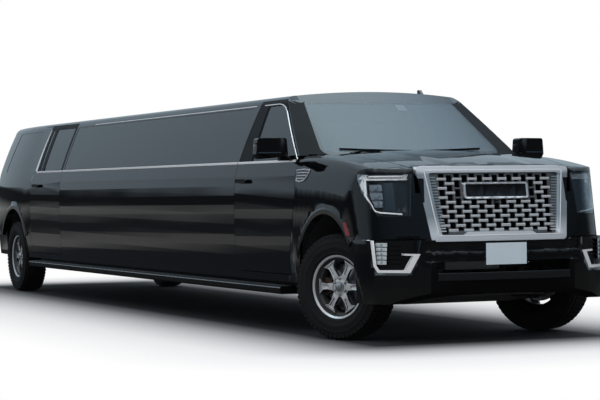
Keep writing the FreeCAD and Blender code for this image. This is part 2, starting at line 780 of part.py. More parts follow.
def handle(station):
    """Pull handle of a left door: a bar on two feet."""
    height = size("handle_height")
    half = size("handle_length") / 2
    skin = size("crease_half_width") + 2
    face = skin + size("handle_reach")
    bar = side_prism([(station - half, height - 17), (station + half, height - 17), (station + half, height + 17),
                      (station - half, height + 17)], face - 16, face, 15)
    feet = [span(station + sign * (half - 28) - 22, station + sign * (half - 28) + 22, skin - 12, face - 8,
                 height - 12, height + 12) for sign in (1, -1)]
    return bar.fuse(feet)


def door_pair(name, tool, window_maker, handle_station):
    """A left door and its twin, each with its pane."""
    shell = biggest(SHELL.common(tool).cut(opening(window_maker)).fuse(handle(handle_station)))
    glass = pane(window_maker)
    piece(f"{name}_left", shell)
    piece(f"{name}_right", mirrored(shell))
    piece(f"{name}_glass_left", glass)
    piece(f"{name}_glass_right", mirrored(glass))


door_pair("front_door", FRONT_DOOR, front_window, -size("front_door_rear") + 190)
door_pair("rear_door", REAR_DOOR, rear_window, -size("rear_door_rear") + 277)

side_panes = [pane(long_window), pane(quarter_window)]
piece("side_windows", Part.makeCompound(side_panes + [mirrored(shape) for shape in side_panes]))
piece("windscreen", windscreen())

print("mirrors")


def mirror_housing():
    """Left door mirror: rounded housing on an arm that leaves the door skin at the belt."""
    station = -size("front_door_front") - size("mirror_back")
    low = size("mirror_foot")
    high = low + size("mirror_height")
    inner = size("mirror_inner_half_width")
    outer = inner + size("mirror_width")
    depth = size("mirror_depth")
    outline = [(inner, low + 22), (outer - 26, low), (outer, low + 34), (outer - 12, high), (inner + 14, high)]
    head = front_prism(outline, station - depth / 2, station + depth / 2, 22)
    plan = plan_prism([(station - depth / 2, inner - 10), (station - depth / 2, outer + 10),
                       (station + depth / 2 - 46, outer + 10), (station + depth / 2, inner + 70),
                       (station + depth / 2 - 20, inner - 10)], low - 10, high + 10, 24)
    head = head.common(plan)
    skin = size("belt_half_width") - 30
    arm = plan_prism([(station - 42, skin), (station + 30, skin), (station + 18, inner + 60),
                      (station - 36, inner + 60)], low - 12, low + 30)
    return head.fuse(arm).removeSplitter()


left_mirror = biggest(mirror_housing().cut(cabin_volume(-FIT)))
piece("mirror_left", left_mirror)
piece("mirror_right", mirrored(left_mirror))

print("front end")


def bonnet_wedge(grow):
    """Plan of the bonnet between the wings, from the grille back to the screen."""
    front = size("bonnet_front")
    front_half = size("bonnet_front_half_width") + grow
    rear_half = size("bonnet_rear_half_width") + grow
    return plan_prism([(front + grow, -front_half), (front + grow, front_half), (-560, rear_half),
                       (-560, -rear_half)], 1100, 1600)


def screen_moved(distance):
    """Everything behind the windscreen's plane moved forward by the distance."""
    volume = screen_volume(0)
    volume.translate(Vector(distance, 0, 0))
    return volume


bonnet_reach = nose_plan(0, size("bonnet_lip"), size("bonnet_edge_height")).extrude(Vector(0, 0, 400))
bonnet = biggest(FRONT.common(bonnet_wedge(0)).common(bonnet_reach).cut(screen_moved(size("cowl_width") + GAP)))
piece("bonnet", bonnet)

lamp_side = [(498, 1262), (508, 1205), (548, 1128), (690, 938), (700, 900), (1100, 900), (1100, 1262)]


def lamp_front(grow):
    return [(668 - grow, 1243 + grow), (700 - grow, 934 - grow), (1200, 934 - grow), (1200, 1243 + grow)]


def lamp_tool(grow):
    side = [(x - grow, z) for x, z in lamp_side]
    return front_prism(lamp_front(grow), 300, 1000).common(side_prism(side, 500, 1200))


def grille_outline(grow):
    return [(640 + grow, 1292 + grow), (562 + grow, 748 - grow), (-562 - grow, 748 - grow), (-640 - grow, 1292 + grow)]


def bumper_side(grow):
    return [(380, 100), (380, 640 + grow), (486 - grow, 762 + grow), (686 - grow, 930 + grow), (1200, 930 + grow),
            (1200, 100)]


grille_tool = front_prism(grille_outline(FIT), 560, 1100)
bumper_tool = side_prism(bumper_side(0), -1300, 1300)
bumper_clear = side_prism(bumper_side(FIT), -1300, 1300)
nose_clear = span(size("bonnet_front") - 1, 1100, -size("bonnet_front_half_width") - GAP,
                  size("bonnet_front_half_width") + GAP, 1100, 1600)
front_arch = arch_cut(0)

wing_rear = SHELL.common(span(-766 + FIT, -size("cowl_station") + 0.5, 0, 1300, 300, size("fender_top_height") + 3))
wing = FRONT.common(span(-size("cowl_station"), 1200, 0, 1300, 300, 1500)).fuse(wing_rear)
wing = wing.common(span(-800, 1200, 0, 1300, size("sill_height"), size("fender_top_height") + 3))
for tool in (FRONT_OPENING, bonnet_wedge(GAP + 1), bumper_clear, lamp_tool(FIT), grille_tool, nose_clear, front_arch):
    wing = wing.cut(tool)
wing = biggest(wing)
front_flare = flare(0, size("side_half_width") - 1).common(span(-700, 478, 950, 1300, 640, 1300)).cut(bumper_clear)
bonnet_rest = span(640, 690, size("bonnet_front_half_width") - 36, size("bonnet_front_half_width") + 26,
                   size("bonnet_edge_height") - FIT - 15, size("bonnet_edge_height") - FIT).cut(lamp_tool(FIT))
wing = biggest(wing.fuse([front_flare, bonnet_rest]))
piece("front_wings", Part.makeCompound([wing, mirrored(wing)]))

cover = size("lamp_cover")
lamp_room = FRONT.common(lamp_tool(0))
lamp_back = front_volume(34)
lamp_cover = biggest(lamp_room.cut(front_volume(cover)))
piece("headlamps", Part.makeCompound([lamp_cover, mirrored(lamp_cover)]))

guide = size("light_guide")
GUIDE_BARS = [
    [(716, 1218), (716, 1218 + guide), (932, 1218 + guide), (932, 1218)],
    [(700, 1194), (690, 1194 + guide), (957, 1194 + guide), (957, 1194)],
    [(957, 1200), (957, 962), (957 - guide, 962), (957 - guide, 1200)],
    [(957, 962), (957, 962 + guide), (745, 942 + guide), (745, 942)],
]
LAMP_MODULES = [[(860, foot), (860, foot + 48), (918, foot + 48), (918, foot)] for foot in (996, 1056, 1116)]
GLASS_REFLECTOR = [(782, 968), (782, 1176), (850, 1176), (850, 972)]


def lamp_unit():
    """Left headlamp behind its cover: housing with its rim, light guides, three modules and a reflector."""
    behind_cover = front_volume(cover + FIT)
    housing = lamp_room.common(lamp_back).fuse(lamp_room.cut(lamp_tool(-size("lamp_rim"))).common(behind_cover))
    layers = [(12, GUIDE_BARS), (20, LAMP_MODULES), (27, [GLASS_REFLECTOR])]
    for depth, outlines in layers:
        room = lamp_room.common(front_volume(depth)).cut(front_volume(36))
        shapes = [front_prism(outline, 560, 1100) for outline in outlines]
        housing = housing.fuse(room.common(shapes[0].fuse(shapes[1:]) if shapes[1:] else shapes[0]))
    return biggest(housing.removeSplitter())


left_unit = lamp_unit()

BEZEL_POCKET = [(975, 764), (962, 576), (944, 530), (748, 526), (676, 662), (676, 764)]
BEZEL = [(975, 764), (962, 576), (944, 530), (748, 526), (676, 662), (790, 666), (786, 653), (724, 650), (770, 560),
         (776, 548), (934, 548), (948, 580), (960, 764)]


def bezel_pocket(grow):
    """Recess in the bumper's corner for the bezel and the lower lamp, to its depth."""
    tool = front_prism(BEZEL_POCKET, 560, 1100)
    return tool.cut(front_volume(size("bezel_depth") + grow))


left_bezel = biggest(FRONT.common(front_prism(BEZEL, 560, 1100)).cut(front_volume(size("bezel_depth"))))
piece("lower_bezels", Part.makeCompound([left_bezel, mirrored(left_bezel)]))


def fog_lamp():
    """Left lower lamp: five cells, one over the other, on a common back."""
    pitch = size("fog_cell_pitch")
    foot = 588
    room = FRONT.common(front_volume(12)).cut(front_volume(size("bezel_depth")))
    back = room.common(front_prism([(890, foot), (884, foot + 5 * pitch), (944, foot + 5 * pitch), (938, foot)], 560,
                                   1100))
    for row in range(1, 5):
        level = foot + row * pitch
        groove = span(560, 1100, 860, 980, level - 3, level + 3).cut(front_volume(22))
        back = back.cut(groove)
    return biggest(back)


left_fog = fog_lamp()
piece("headlamp_units", Part.makeCompound([left_unit, mirrored(left_unit), left_fog, mirrored(left_fog)]))

bumper = FRONT.common(bumper_tool)
for tool in (lamp_tool(FIT), mirrored(lamp_tool(FIT)), grille_tool, front_arch, mirrored(front_arch)):
    bumper = bumper.cut(tool)
bumper = bumper.common(span(300, 1200, -1300, 1300, size("bumper_foot"), 1400))
chin = side_prism([(300, 200), (300, 470), (size("front_overhang") - 4, 470), (size("front_overhang") - 30, 380),
                   (size("front_overhang") - 150, size("bumper_foot") - 1), (300, size("bumper_foot") - 1)],
                  -1300, 1300)
upper_keep = span(300, 1200, -1300, 1300, 470, 1500)
bumper = bumper.common(chin.fuse(upper_keep))
lower_opening = front_prism([(560, 600), (545, 512), (-545, 512), (-560, 600)], 600, 1200, 12)
bumper = bumper.cut(lower_opening)
step_back = front_volume(0).cut(front_volume(size("bumper_step")))
for low, high in ((600, 634), (672, 744)):
    bumper = bumper.cut(step_back.common(span(560, 1100, -640, 640, low, high)))
for sign in (1, -1):
    pocket = bezel_pocket(FIT)
    bumper = bumper.cut(pocket if sign > 0 else mirrored(pocket))
bumper = biggest(bumper)
piece("front_bumper", bumper)


def upper_nose(inset):
    reach = size("front_overhang") - 4 - size("nose_step")
    base = size("grille_base_height") - 20
    reach += size("grille_lean") * 20
    return nose_plan(inset, reach, base).extrude(Vector(-size("grille_lean") * 620, 0, 620))


def grille_inner(grow):
    return [(545 + grow, 1246 + grow), (482 + grow, 792 - grow), (300, 792 - grow), (262, 815 - grow),
            (-262, 815 - grow), (-300, 792 - grow), (-482 - grow, 792 - grow), (-545 - grow, 1246 + grow)]


def comb_teeth():
    """Teeth on both sides of the mesh, from the surround inwards over the mesh's border."""
    layer = upper_nose(8).cut(upper_nose(24 - FIT))
    teeth = []
    level = 816
    while level < 1222:
        half = 482 + (545 - 482) * (level - 792) / (1246 - 792)
        for sign in (1, -1):
            low, high = sorted((sign * (half - 48), sign * (half + 4)))
            teeth.append(span(560, 1100, low, high, level, level + size("comb_tooth_height")))
        level += size("comb_tooth_pitch")
    return layer.common(Part.makeCompound(teeth))


def side_insert(sign):
    """Shallow recess for the black insert in the upper outer part of the surround."""
    outline = [(sign * 650, 1206), (sign * 583, 1206), (sign * 593, 1030), (sign * 650, 1030)]
    return front_prism(outline, 560, 1100).cut(upper_nose(-2))


ring = upper_nose(-6).cut(upper_nose(44)).common(front_prism(grille_outline(0), 560, 1100, 26))
ring = ring.cut(front_prism(grille_inner(0), 560, 1100, 18))
for sign in (1, -1):
    ring = ring.cut(side_insert(sign))
piece("grille_surround", biggest(ring.fuse(comb_teeth())))


def mesh_openings():
    """Staggered openings of the grille mesh, row over row."""
    row_pitch = size("mesh_row_pitch")
    cell_pitch = size("mesh_cell_pitch")
    width = cell_pitch - size("mesh_bar_length")
    height = 2 * row_pitch - size("mesh_bar_height")
    base = 792.0
    rows = int((1246 - base) / row_pitch)
    tools = []
    for row in range(1, rows + 1):
        level = base + row * row_pitch
        half = 482 + (545 - 482) * (level - base) / (1246 - base) - size("mesh_margin")
        shift = cell_pitch / 2 if row % 2 else 0
        columns = int(half / cell_pitch) + 1
        for column in range(-columns, columns + 1):
            centre = column * cell_pitch + shift
            if abs(centre) + width / 2 > half:
                continue
            border = 31 if abs(centre) < 330 else 8
            low = max(level - height / 2, base + border)
            high = min(level + height / 2, 1246 - 8)
            tools.append(span(560, 1100, centre - width / 2, centre + width / 2, low, high))
    return tools


mesh_slab = upper_nose(24).cut(upper_nose(24 + size("mesh_depth"))).common(
    front_prism(grille_inner(-FIT), 560, 1100, 18))
mesh = mesh_slab.cut(mesh_openings())


def plaque_outline(inset):
    half = size("plaque_half_width") - inset
    low = size("plaque_foot") + inset
    high = size("plaque_foot") + size("plaque_height") - inset
    return [(half, low), (half, high), (-half, high), (-half, low)]


plaque = upper_nose(6).cut(upper_nose(26)).common(front_prism(plaque_outline(0), 560, 1100, 18))
plaque_field = front_prism(plaque_outline(size("plaque_rim")), 560, 1100, 10).cut(upper_nose(11))
camera_box = upper_nose(10).cut(upper_nose(26)).common(
    front_prism([(26, 1056), (20, 1036), (-20, 1036), (-26, 1056)], 560, 1100))
mesh = biggest(mesh.fuse([plaque.cut(plaque_field), camera_box]))
piece("grille_mesh", mesh)

plate = span(size("front_overhang") - 4 + FIT, size("front_overhang"), -168, 168, size("plate_foot"),
             size("plate_foot") + 158)
piece("number_plate", plate)

cowl_height = size("fender_top_height")
cowl = screen_moved(size("cowl_width")).cut(screen_volume(0)).common(
    span(-700, 0, -900, 900, cowl_height - 34, cowl_height + 6)).common(bonnet_wedge(GAP + 1 - FIT))
piece("cowl_panel", biggest(cowl))

print("tail")
gate = biggest(SHELL.common(GATE_TOOL).cut(front_prism(gate_window(0), TAIL - 200, GATE_WINDOW_REACH, 40)))
plate_place = front_prism([(310, 880), (280, 1072), (-280, 1072), (-310, 880)], TAIL - 200, TAIL_LAMP_REACH, 20)
gate = gate.cut(plate_place.cut(tail_volume(16)))
gate_bar = tail_wall(-8, 20).common(front_prism([(330, 1078), (330, 1112), (-330, 1112), (-330, 1078)], TAIL - 200,
                                                TAIL_LAMP_REACH, 10))
gate = biggest(gate.fuse(gate_bar))
piece("liftgate", gate)
gate_glass = tail_wall(-3, 3 + size("glass_thickness")).common(
    front_prism(gate_window(-FIT), TAIL - 200, GATE_WINDOW_REACH, 40))
piece("liftgate_glass", biggest(gate_glass))
rear_lamp = biggest(SHELL.common(LEFT_SIDE).common(
    front_prism(tail_lamp_outline(FIT), TAIL - 200, TAIL_LAMP_REACH - FIT)).cut(GATE_OPENING))
piece("tail_lamps", Part.makeCompound([rear_lamp, mirrored(rear_lamp)]))

bumper_out = tail_plan(0, TAIL, 300).extrude(Vector(0, 0, 400))
bumper_in = tail_plan(WALL + 45, TAIL, 300).extrude(Vector(0, 0, 400))
bumper_room = span(TAIL - 10, REAR_AXLE - 300 - FIT, -1300, 1300, 300, size("bumper_top") - FIT)
rear_bumper = bumper_out.cut(bumper_in).common(cabin_volume(0)).common(bumper_room)
side_skirt = SHELL.common(bumper_room).common(span(TAIL + 100, 0, -1300, 1300, 0, 1000)).cut(
    span(TAIL, 0, -size("skirt_inner_half_width"), size("skirt_inner_half_width"), 0, 1000))
gate_rest = span(TAIL_REACH + 4, TAIL_REACH + 40, -60, 60, size("bumper_top") - 20, size("gate_foot") - FIT)
rear_bumper = rear_bumper.fuse([side_skirt, gate_rest]).cut(side_arch).cut(mirrored(side_arch))
liner_room = across(REAR_AXLE, size("arch_centre_height"), size("arch_radius") + size("liner_thickness") + FIT,
                    -1300, 1300).common(cabin_volume(WALL)).common(tail_volume(WALL))
piece("rear_bumper", biggest(rear_bumper.cut(liner_room)))

print("running gear")


def primitive(name, kind):
    """A primitive of the document, kept apart from the finished pieces."""
    return doc.addObject(f"Part::{kind}", name)


def bound_box(name, x, y, z, length, width, height):
    """Box whose corner and sizes are expressions on the sheet."""
    box = primitive(name, "Box")
    for prop, value in (("Length", length), ("Width", width), ("Height", height), ("Placement.Base.x", x),
                        ("Placement.Base.y", y), ("Placement.Base.z", z)):
        box.setExpression(prop, Length.of(value).text)
    return box


def bound_cylinder(name, centre, radius, height, rotation):
    """Cylinder whose size and place are expressions on the sheet."""
    rod = primitive(name, "Cylinder")
    rod.Placement = Placement(Vector(), rotation)
    for prop, value in (("Radius", radius), ("Height", height), ("Placement.Base.x", centre[0]),
                        ("Placement.Base.y", centre[1]), ("Placement.Base.z", centre[2])):
        rod.setExpression(prop, Length.of(value).text)
    return rod


def fused(name, members):
    """One solid from primitives that meet."""
    union = doc.addObject("Part::MultiFuse", name)
    union.Label = name
    union.Shapes = members
    union.Refine = True
    place_expression(union)
    parts.append(union)
    return union


def single(name, member):
    """One primitive kept as a piece of its own."""
    fused_member = doc.addObject("Part::Compound", name)
    fused_member.Label = name
    fused_member.Links = member if isinstance(member, list) else [member]
    place_expression(fused_member)
    parts.append(fused_member)
    return fused_member


ALONG_X = Rotation(Vector(0, 1, 0), 90)
ALONG_Y = Rotation(Vector(1, 0, 0), -90)
wheelbase = cell("base_wheelbase") + cell("stretch_length")


def chassis_rail():
    """Left rail: low under the cabin, over the rear axle in a hump, level again at the tail."""
    foot = size("rail_foot")
    top = foot + size("rail_depth")
    hump = size("rail_hump")
    outline = [(700, foot), (700, top), (REAR_AXLE + 520, top), (REAR_AXLE + 370, top + hump),
               (REAR_AXLE - 410, top + hump), (REAR_AXLE - 520, top + hump * 0.55), (TAIL + 250, top + hump * 0.55),
               (TAIL + 250, foot + hump * 0.62), (REAR_AXLE - 490, foot + hump * 0.62),
               (REAR_AXLE - 370, foot + hump), (REAR_AXLE + 330, foot + hump), (REAR_AXLE + 470, foot)]
    return side_prism(outline, size("rail_inner"), size("rail_inner") + size("rail_width"))


board_inner = 905
rail_outer = size("rail_inner") + size("rail_width")
left_rail = chassis_rail()
frame_solids = [mirrored(left_rail)]
cross_low = size("rail_foot") + 4
cabin_stations = [-1500 - 1200 * step for step in range(6)]
for station in [660] + cabin_stations:
    frame_solids.append(span(station - 30, station + 30, -rail_outer + 1, rail_outer - 1, cross_low, cross_low + 42))
for station in (REAR_AXLE - 560, TAIL + 300):
    frame_solids.append(span(station - 30, station + 30, -rail_outer + 1, rail_outer - 1, 480, 530))
for station in cabin_stations:
    for sign in (1, -1):
        low, high = sorted((sign * (rail_outer - 1), sign * (board_inner - FIT)))
        frame_solids.append(span(station - 35, station + 35, low, high, cross_low + 2, cross_low + 32))
        mount = Part.makeCylinder(38, size("floor_height") - FIT - cross_low - 20,
                                  Vector(station, sign * 640, cross_low + 20))
        frame_solids.append(mount)
subframe_half = size("subframe_half_length")
frame_solids.append(span(-subframe_half, subframe_half, -rail_outer, rail_outer, size("subframe_foot"),
                         size("rail_foot") + 4))
for sign in (1, -1):
    frame_solids.append(Part.makeCylinder(42, size("engine_foot") - FIT - size("rail_foot"),
                                          Vector(0, sign * 180, size("rail_foot"))))
piece("chassis_frame", left_rail.fuse(frame_solids).removeSplitter())

inner_fit = cabin_volume(WALL + FIT).common(tail_volume(WALL + FIT))
door_room = FRONT_OPENING.fuse(REAR_OPENING).common(span(-12000, 0, 916, 1200, 0, 1400))
door_room = door_room.fuse(mirrored(door_room))
floor_low = size("floor_height")
floor_top = floor_low + size("floor_thickness")
rear_floor_low = size("rear_floor_height")
rear_floor_top = rear_floor_low + size("floor_thickness")
liner_outer = size("arch_radius") + size("liner_thickness")
step_station = REAR_AXLE + liner_outer + 45
firewall_front = -size("firewall_front")
firewall_rear = firewall_front - size("firewall_thickness")
front_floor = span(step_station, firewall_front, -1100, 1100, floor_low, floor_top)
riser = span(step_station - 30, step_station, -1100, 1100, floor_low, rear_floor_top)
rear_floor = span(TAIL, step_station, -1100, 1100, rear_floor_low, rear_floor_top)
firewall = span(firewall_rear, firewall_front, -1100, 1100, floor_low, size("firewall_head"))
inner_front = front_volume(WALL + FIT).fuse(span(-14000, -size("cowl_station"), -1300, 1300, 0, 2200))
floor_solid = front_floor.fuse([riser, rear_floor, firewall]).common(inner_fit).common(inner_front).cut(door_room)
bell_half = size("bell_half_width") + 10
bell_rear = size("engine_front") - size("engine_length") - size("bell_length")
floor_solid = floor_solid.cut(span(bell_rear - 10, 0, -bell_half, bell_half, floor_low - 10,
                                   size("bell_foot") + size("bell_height") + 10))
for sign in (1, -1):
    low, high = sorted((sign * (size("liner_inner_half_width") - 4), sign * 1100))
    for axle in (0, REAR_AXLE):
        floor_solid = floor_solid.cut(across(axle, size("arch_centre_height"), liner_outer + FIT, low, high))
piece("cabin_floor", biggest(floor_solid))


def arch_liner(axle, side_room):
    """Left liner: a half tube from inside the wheel to the body side, its bore flush with the arch."""
    height = size("arch_centre_height")
    inner_edge = size("liner_inner_half_width")
    over = span(axle - 700, axle + 700, 0, 1300, height + 30, 1300)
    tube = across(axle, height, liner_outer, inner_edge, 1100).cut(across(axle, height, size("arch_radius"), 400, 1200))
    if axle:
        tube = tube.fuse(across(axle, height, liner_outer, inner_edge, inner_edge + size("liner_thickness")))
    return biggest(tube.common(over).common(side_room))


left_liners = [arch_liner(0, front_volume(WALL + FIT)), arch_liner(REAR_AXLE, inner_fit)]
piece("wheel_arch_liners", Part.makeCompound(left_liners + [mirrored(liner) for liner in left_liners]))

board_front = -size("front_door_foot_front") - 64
board_rear = REAR_AXLE + size("arch_radius") + 190
board = plan_prism([(board_front, board_inner), (board_front - 30, size("board_half_width")),
                    (board_rear + 30, size("board_half_width")), (board_rear, board_inner)],
                   size("board_top") - size("board_thickness"), size("board_top"))
board = board.makeFillet(14, [edge for edge in board.Edges if abs(edge.BoundBox.ZLength) < 1
                              and edge.BoundBox.XLength > 3000 and edge.BoundBox.YMin > 1000])
piece("running_boards", Part.makeCompound([board, mirrored(board)]))

engine_rear = cell("engine_front") - cell("engine_length")
engine = bound_box("engine_crankcase", engine_rear, -cell("engine_width") / 2, cell("engine_foot"),
                   cell("engine_length"), cell("engine_width"), cell("engine_height"))
single("engine_block", engine)

bell_start = engine_rear - cell("bell_length")
bell = bound_box("bell_housing", bell_start, -cell("bell_half_width"), cell("bell_foot"),
                 cell("bell_length") - cell("seat_clearance"), cell("bell_half_width") * 2, cell("bell_height"))
gearbox_start = bell_start - cell("gearbox_length")
gearbox = bound_box("gearbox_case", gearbox_start, -cell("gearbox_width") / 2, cell("gearbox_foot"),
                    cell("gearbox_length") + 2, cell("gearbox_width"), cell("gearbox_height"))
differential_nose = wheelbase - 168
shaft = bound_cylinder("propeller_tube", (-differential_nose + FIT, Length.of(0), Length.of(423)), Length.of(42),
                       differential_nose + gearbox_start - FIT + 2, ALONG_X)
fused("gearbox_and_propeller_shaft", [bell, gearbox, shaft])

axle_height = cell("tyre_radius")
axle_case = bound_cylinder("axle_tube", (-wheelbase, Length.of(-735), axle_height), cell("axle_tube_radius"),
                           Length.of(1470), ALONG_Y)
differential = bound_box("differential_case", -wheelbase - 160, Length.of(-150), axle_height - 121, 328, 300, 245)
hub_back = cell("rim_width") / 2 - 58.7
stub_reach = cell("rear_axle_track") / 2 + hub_back
rear_stubs = bound_cylinder("rear_stub_axles", (-wheelbase, -stub_reach, axle_height), cell("stub_radius"),
                            stub_reach * 2, ALONG_Y)


def brake_caliper(track, station):
    """Left caliper astride the rear edge of the brake disc, on its bracket."""
    centre = track / 2
    height = size("tyre_radius")
    outer = size("caliper_radius")
    disc = size("disc_radius")
    sector = side_prism([(station, height), (station - 300, height - 130), (station - 300, height + 130)], 0, 1300)
    saddle = across(station, height, outer, centre - 52, centre + 36).cut(
        across(station, height, disc - 50, centre - 60, centre + 60))
    saddle = saddle.cut(across(station, height, disc + 4, centre - 27, centre + 13))
    bracket = across(station, height, outer, centre - 76, centre - 50)
    return saddle.fuse(bracket).common(sector)


rear_caliper = brake_caliper(size("rear_axle_track"), REAR_AXLE)
calipers = doc.addObject("Part::Feature", "rear_calipers")
calipers.Shape = Part.makeCompound([rear_caliper, mirrored(rear_caliper)])
fused("rear_axle_housing", [axle_case, differential, rear_stubs, calipers])

tank_inner = size("rail_inner") - FIT
fuel_tank = plan_prism([(-size("tank_front") - size("tank_length"), 60), (-size("tank_front"), 60),
                        (-size("tank_front"), tank_inner), (-size("tank_front") - size("tank_length"), tank_inner)],
                       size("tank_foot"), size("floor_height") - 10, 40)
piece("fuel_tank", fuel_tank)


def exhaust_line():
    """Down pipe beside the engine, silencer under the cabin and pipe back past the rear axle."""
    side = -size("exhaust_half_width")
    radius = size("exhaust_radius")
    low = cross_low - FIT - radius
    down = size("engine_front") - size("engine_length") + 40
    high = size("engine_foot") + 80
    engine_side = -size("engine_width") / 2
    parts_of_line = [
        Part.makeCylinder(radius, engine_side - FIT - side, Vector(down, side, high), Vector(0, 1, 0)),
        Part.makeSphere(radius, Vector(down, side, high)),
        Part.makeCylinder(radius, high - low, Vector(down, side, low)),
        Part.makeSphere(radius, Vector(down, side, low)),
        Part.makeCylinder(radius, down - REAR_AXLE + 560, Vector(REAR_AXLE - 560, side, low), Vector(1, 0, 0)),
        Part.makeCylinder(size("silencer_radius"), 540, Vector(-3540, side + 20, low), Vector(1, 0, 0)),
    ]
    return parts_of_line[0].fuse(parts_of_line[1:])


piece("exhaust_system", exhaust_line())


def suspension_arm(height, thickness, base_half):
    """Left control arm: a flat A from the chassis rail out to its eye on the steering axis."""
    kingpin = size("kingpin_half_track")
    inner = rail_outer + FIT
    plate = plan_prism([(-base_half, inner), (base_half, inner), (32, kingpin), (-32, kingpin)], height,
                       height + thickness)
    window = plan_prism([(-base_half + 46, inner + 40), (base_half - 46, inner + 40), (8, kingpin - 90),
                         (-8, kingpin - 90)], height - 1, height + thickness + 1)
    eye = Part.makeCylinder(size("eye_radius"), thickness, Vector(0, kingpin, height))
    bore = Part.makeCylinder(size("pin_radius") + size("pin_clearance"), thickness + 2, Vector(0, kingpin, height - 1))
    return plate.cut(window).fuse(eye).cut(bore).removeSplitter()


lower_arm = suspension_arm(size("lower_arm_height"), size("arm_thickness"), 190)
upper_arm = suspension_arm(size("upper_arm_height"), size("arm_thickness"), 120)
rail_top = size("rail_foot") + size("rail_depth")
arm_turret = span(-120, 120, size("rail_inner"), rail_outer + FIT + 2, rail_top + FIT,
                  size("upper_arm_height") + size("arm_thickness"))
upper_arm = biggest(upper_arm.fuse(arm_turret.common(span(-120, 120, 0, rail_outer, 0, 900))).fuse(
    span(-118, 118, rail_outer - 2, rail_outer + 2, size("upper_arm_height"),
         size("upper_arm_height") + size("arm_thickness"))))

axle_top = size("tyre_radius") + size("axle_tube_radius") + FIT
hump_foot = size("rail_foot") + size("rail_hump") - FIT
rail_middle = (size("rail_inner") + rail_outer) / 2
air_spring = Part.makeCylinder(size("air_spring_radius"), hump_foot - axle_top, Vector(REAR_AXLE, rail_middle, axle_top))
trailing_arm = span(REAR_AXLE + size("axle_tube_radius") + FIT, REAR_AXLE + 470, size("rail_inner") + 8,
                    rail_outer - 8, size("tyre_radius") - 16, size("tyre_radius") + 16)
rail_clear = left_rail.copy()
rail_clear.translate(Vector(-FIT, 0, 0))
trailing_arm = max(trailing_arm.cut(rail_clear).Solids, key=lambda solid: -solid.CenterOfMass.x)
arms = [lower_arm, upper_arm, air_spring, trailing_arm]
piece("suspension", Part.makeCompound(arms + [mirrored(arm) for arm in arms]))

print("wheels")


def steered(shape_side):
    """Turn of a front wheel about its steering axis at rest, on the left (1) or right (-1)."""
    pivot = Vector(0, shape_side * size("kingpin_half_track"), 0)
    turn = Placement(Vector(), Rotation(Vector(0, 0, 1), size("steer_rest")), pivot)
    return turn


def knuckle_shape():
    """Left knuckle: post between the arm eyes with a pin in each, and the stub axle that carries the hub."""
    kingpin = size("kingpin_half_track")
    low = size("lower_arm_height") + size("arm_thickness")
    high = size("upper_arm_height")
    pin_low = size("lower_arm_height") - 4
    pin_high = high + size("arm_thickness") + 4
    post = Part.makeCylinder(30, high - low - 2, Vector(0, kingpin, low + 1))
    pin = Part.makeCylinder(size("pin_radius"), pin_high - pin_low, Vector(0, kingpin, pin_low))
    carrier = across(0, size("tyre_radius"), 62, kingpin - 20, kingpin + 22)
    stub = across(0, size("tyre_radius"), size("stub_radius"), kingpin,
                  size("front_axle_track") / 2 + hub_back.number)
    return post.fuse([pin, carrier, stub, brake_caliper(size("front_axle_track"), 0)]).removeSplitter()


left_knuckle = knuckle_shape()
for name, shape, side in (("knuckle_left", left_knuckle, 1), ("knuckle_right", mirrored(left_knuckle), -1)):
    piece(name, shape.transformed(steered(side).toMatrix()))


def revolved(name, profile):
    """Wheel-shaped body turned about the Y axis from a profile of radius and offset."""
    body = doc.addObject("PartDesign::Body", name)
    body.Label = name
    sketch = profile_sketch(body, "XY_Plane", f"{name}_profile", profile)
    turn = body.newObject("PartDesign::Revolution", f"{name}_turning")
    turn.Profile = sketch
    turn.ReferenceAxis = (sketch, ["V_Axis"])
    turn.Angle = 360
    sketch.Visibility = False
    return body


def origin_plane(body, role):
    return next(feature for feature in body.Origin.OriginFeatures if feature.Role == role)


def profile_sketch(body, role, name, points, lift=None):
    """Closed outline on one of the body's planes, each corner bound to the sheet."""
    sketch = body.newObject("Sketcher::SketchObject", name)
    sketch.AttachmentSupport = [(origin_plane(body, role), "")]
    sketch.MapMode = "FlatFace"
    if lift is not None:
        sketch.setExpression("AttachmentOffset.Base.z", Length.of(lift).text)
    corners = [(Length.of(x), Length.of(y)) for x, y in points]
    count = len(corners)
    for index in range(count):
        x, y = corners[index]
        next_x, next_y = corners[(index + 1) % count]
        sketch.addGeometry(Part.LineSegment(Vector(x.number, y.number, 0), Vector(next_x.number, next_y.number, 0)))
    for index in range(count):
        sketch.addConstraint(Sketcher.Constraint("Coincident", index, 2, (index + 1) % count, 1))
    for index, (x, y) in enumerate(corners):
        across_index = sketch.addConstraint(Sketcher.Constraint("DistanceX", index, 1, x.number))
        sketch.setExpression(f"Constraints[{across_index}]", x.text)
        up_index = sketch.addConstraint(Sketcher.Constraint("DistanceY", index, 1, y.number))
        sketch.setExpression(f"Constraints[{up_index}]", y.text)
    return sketch


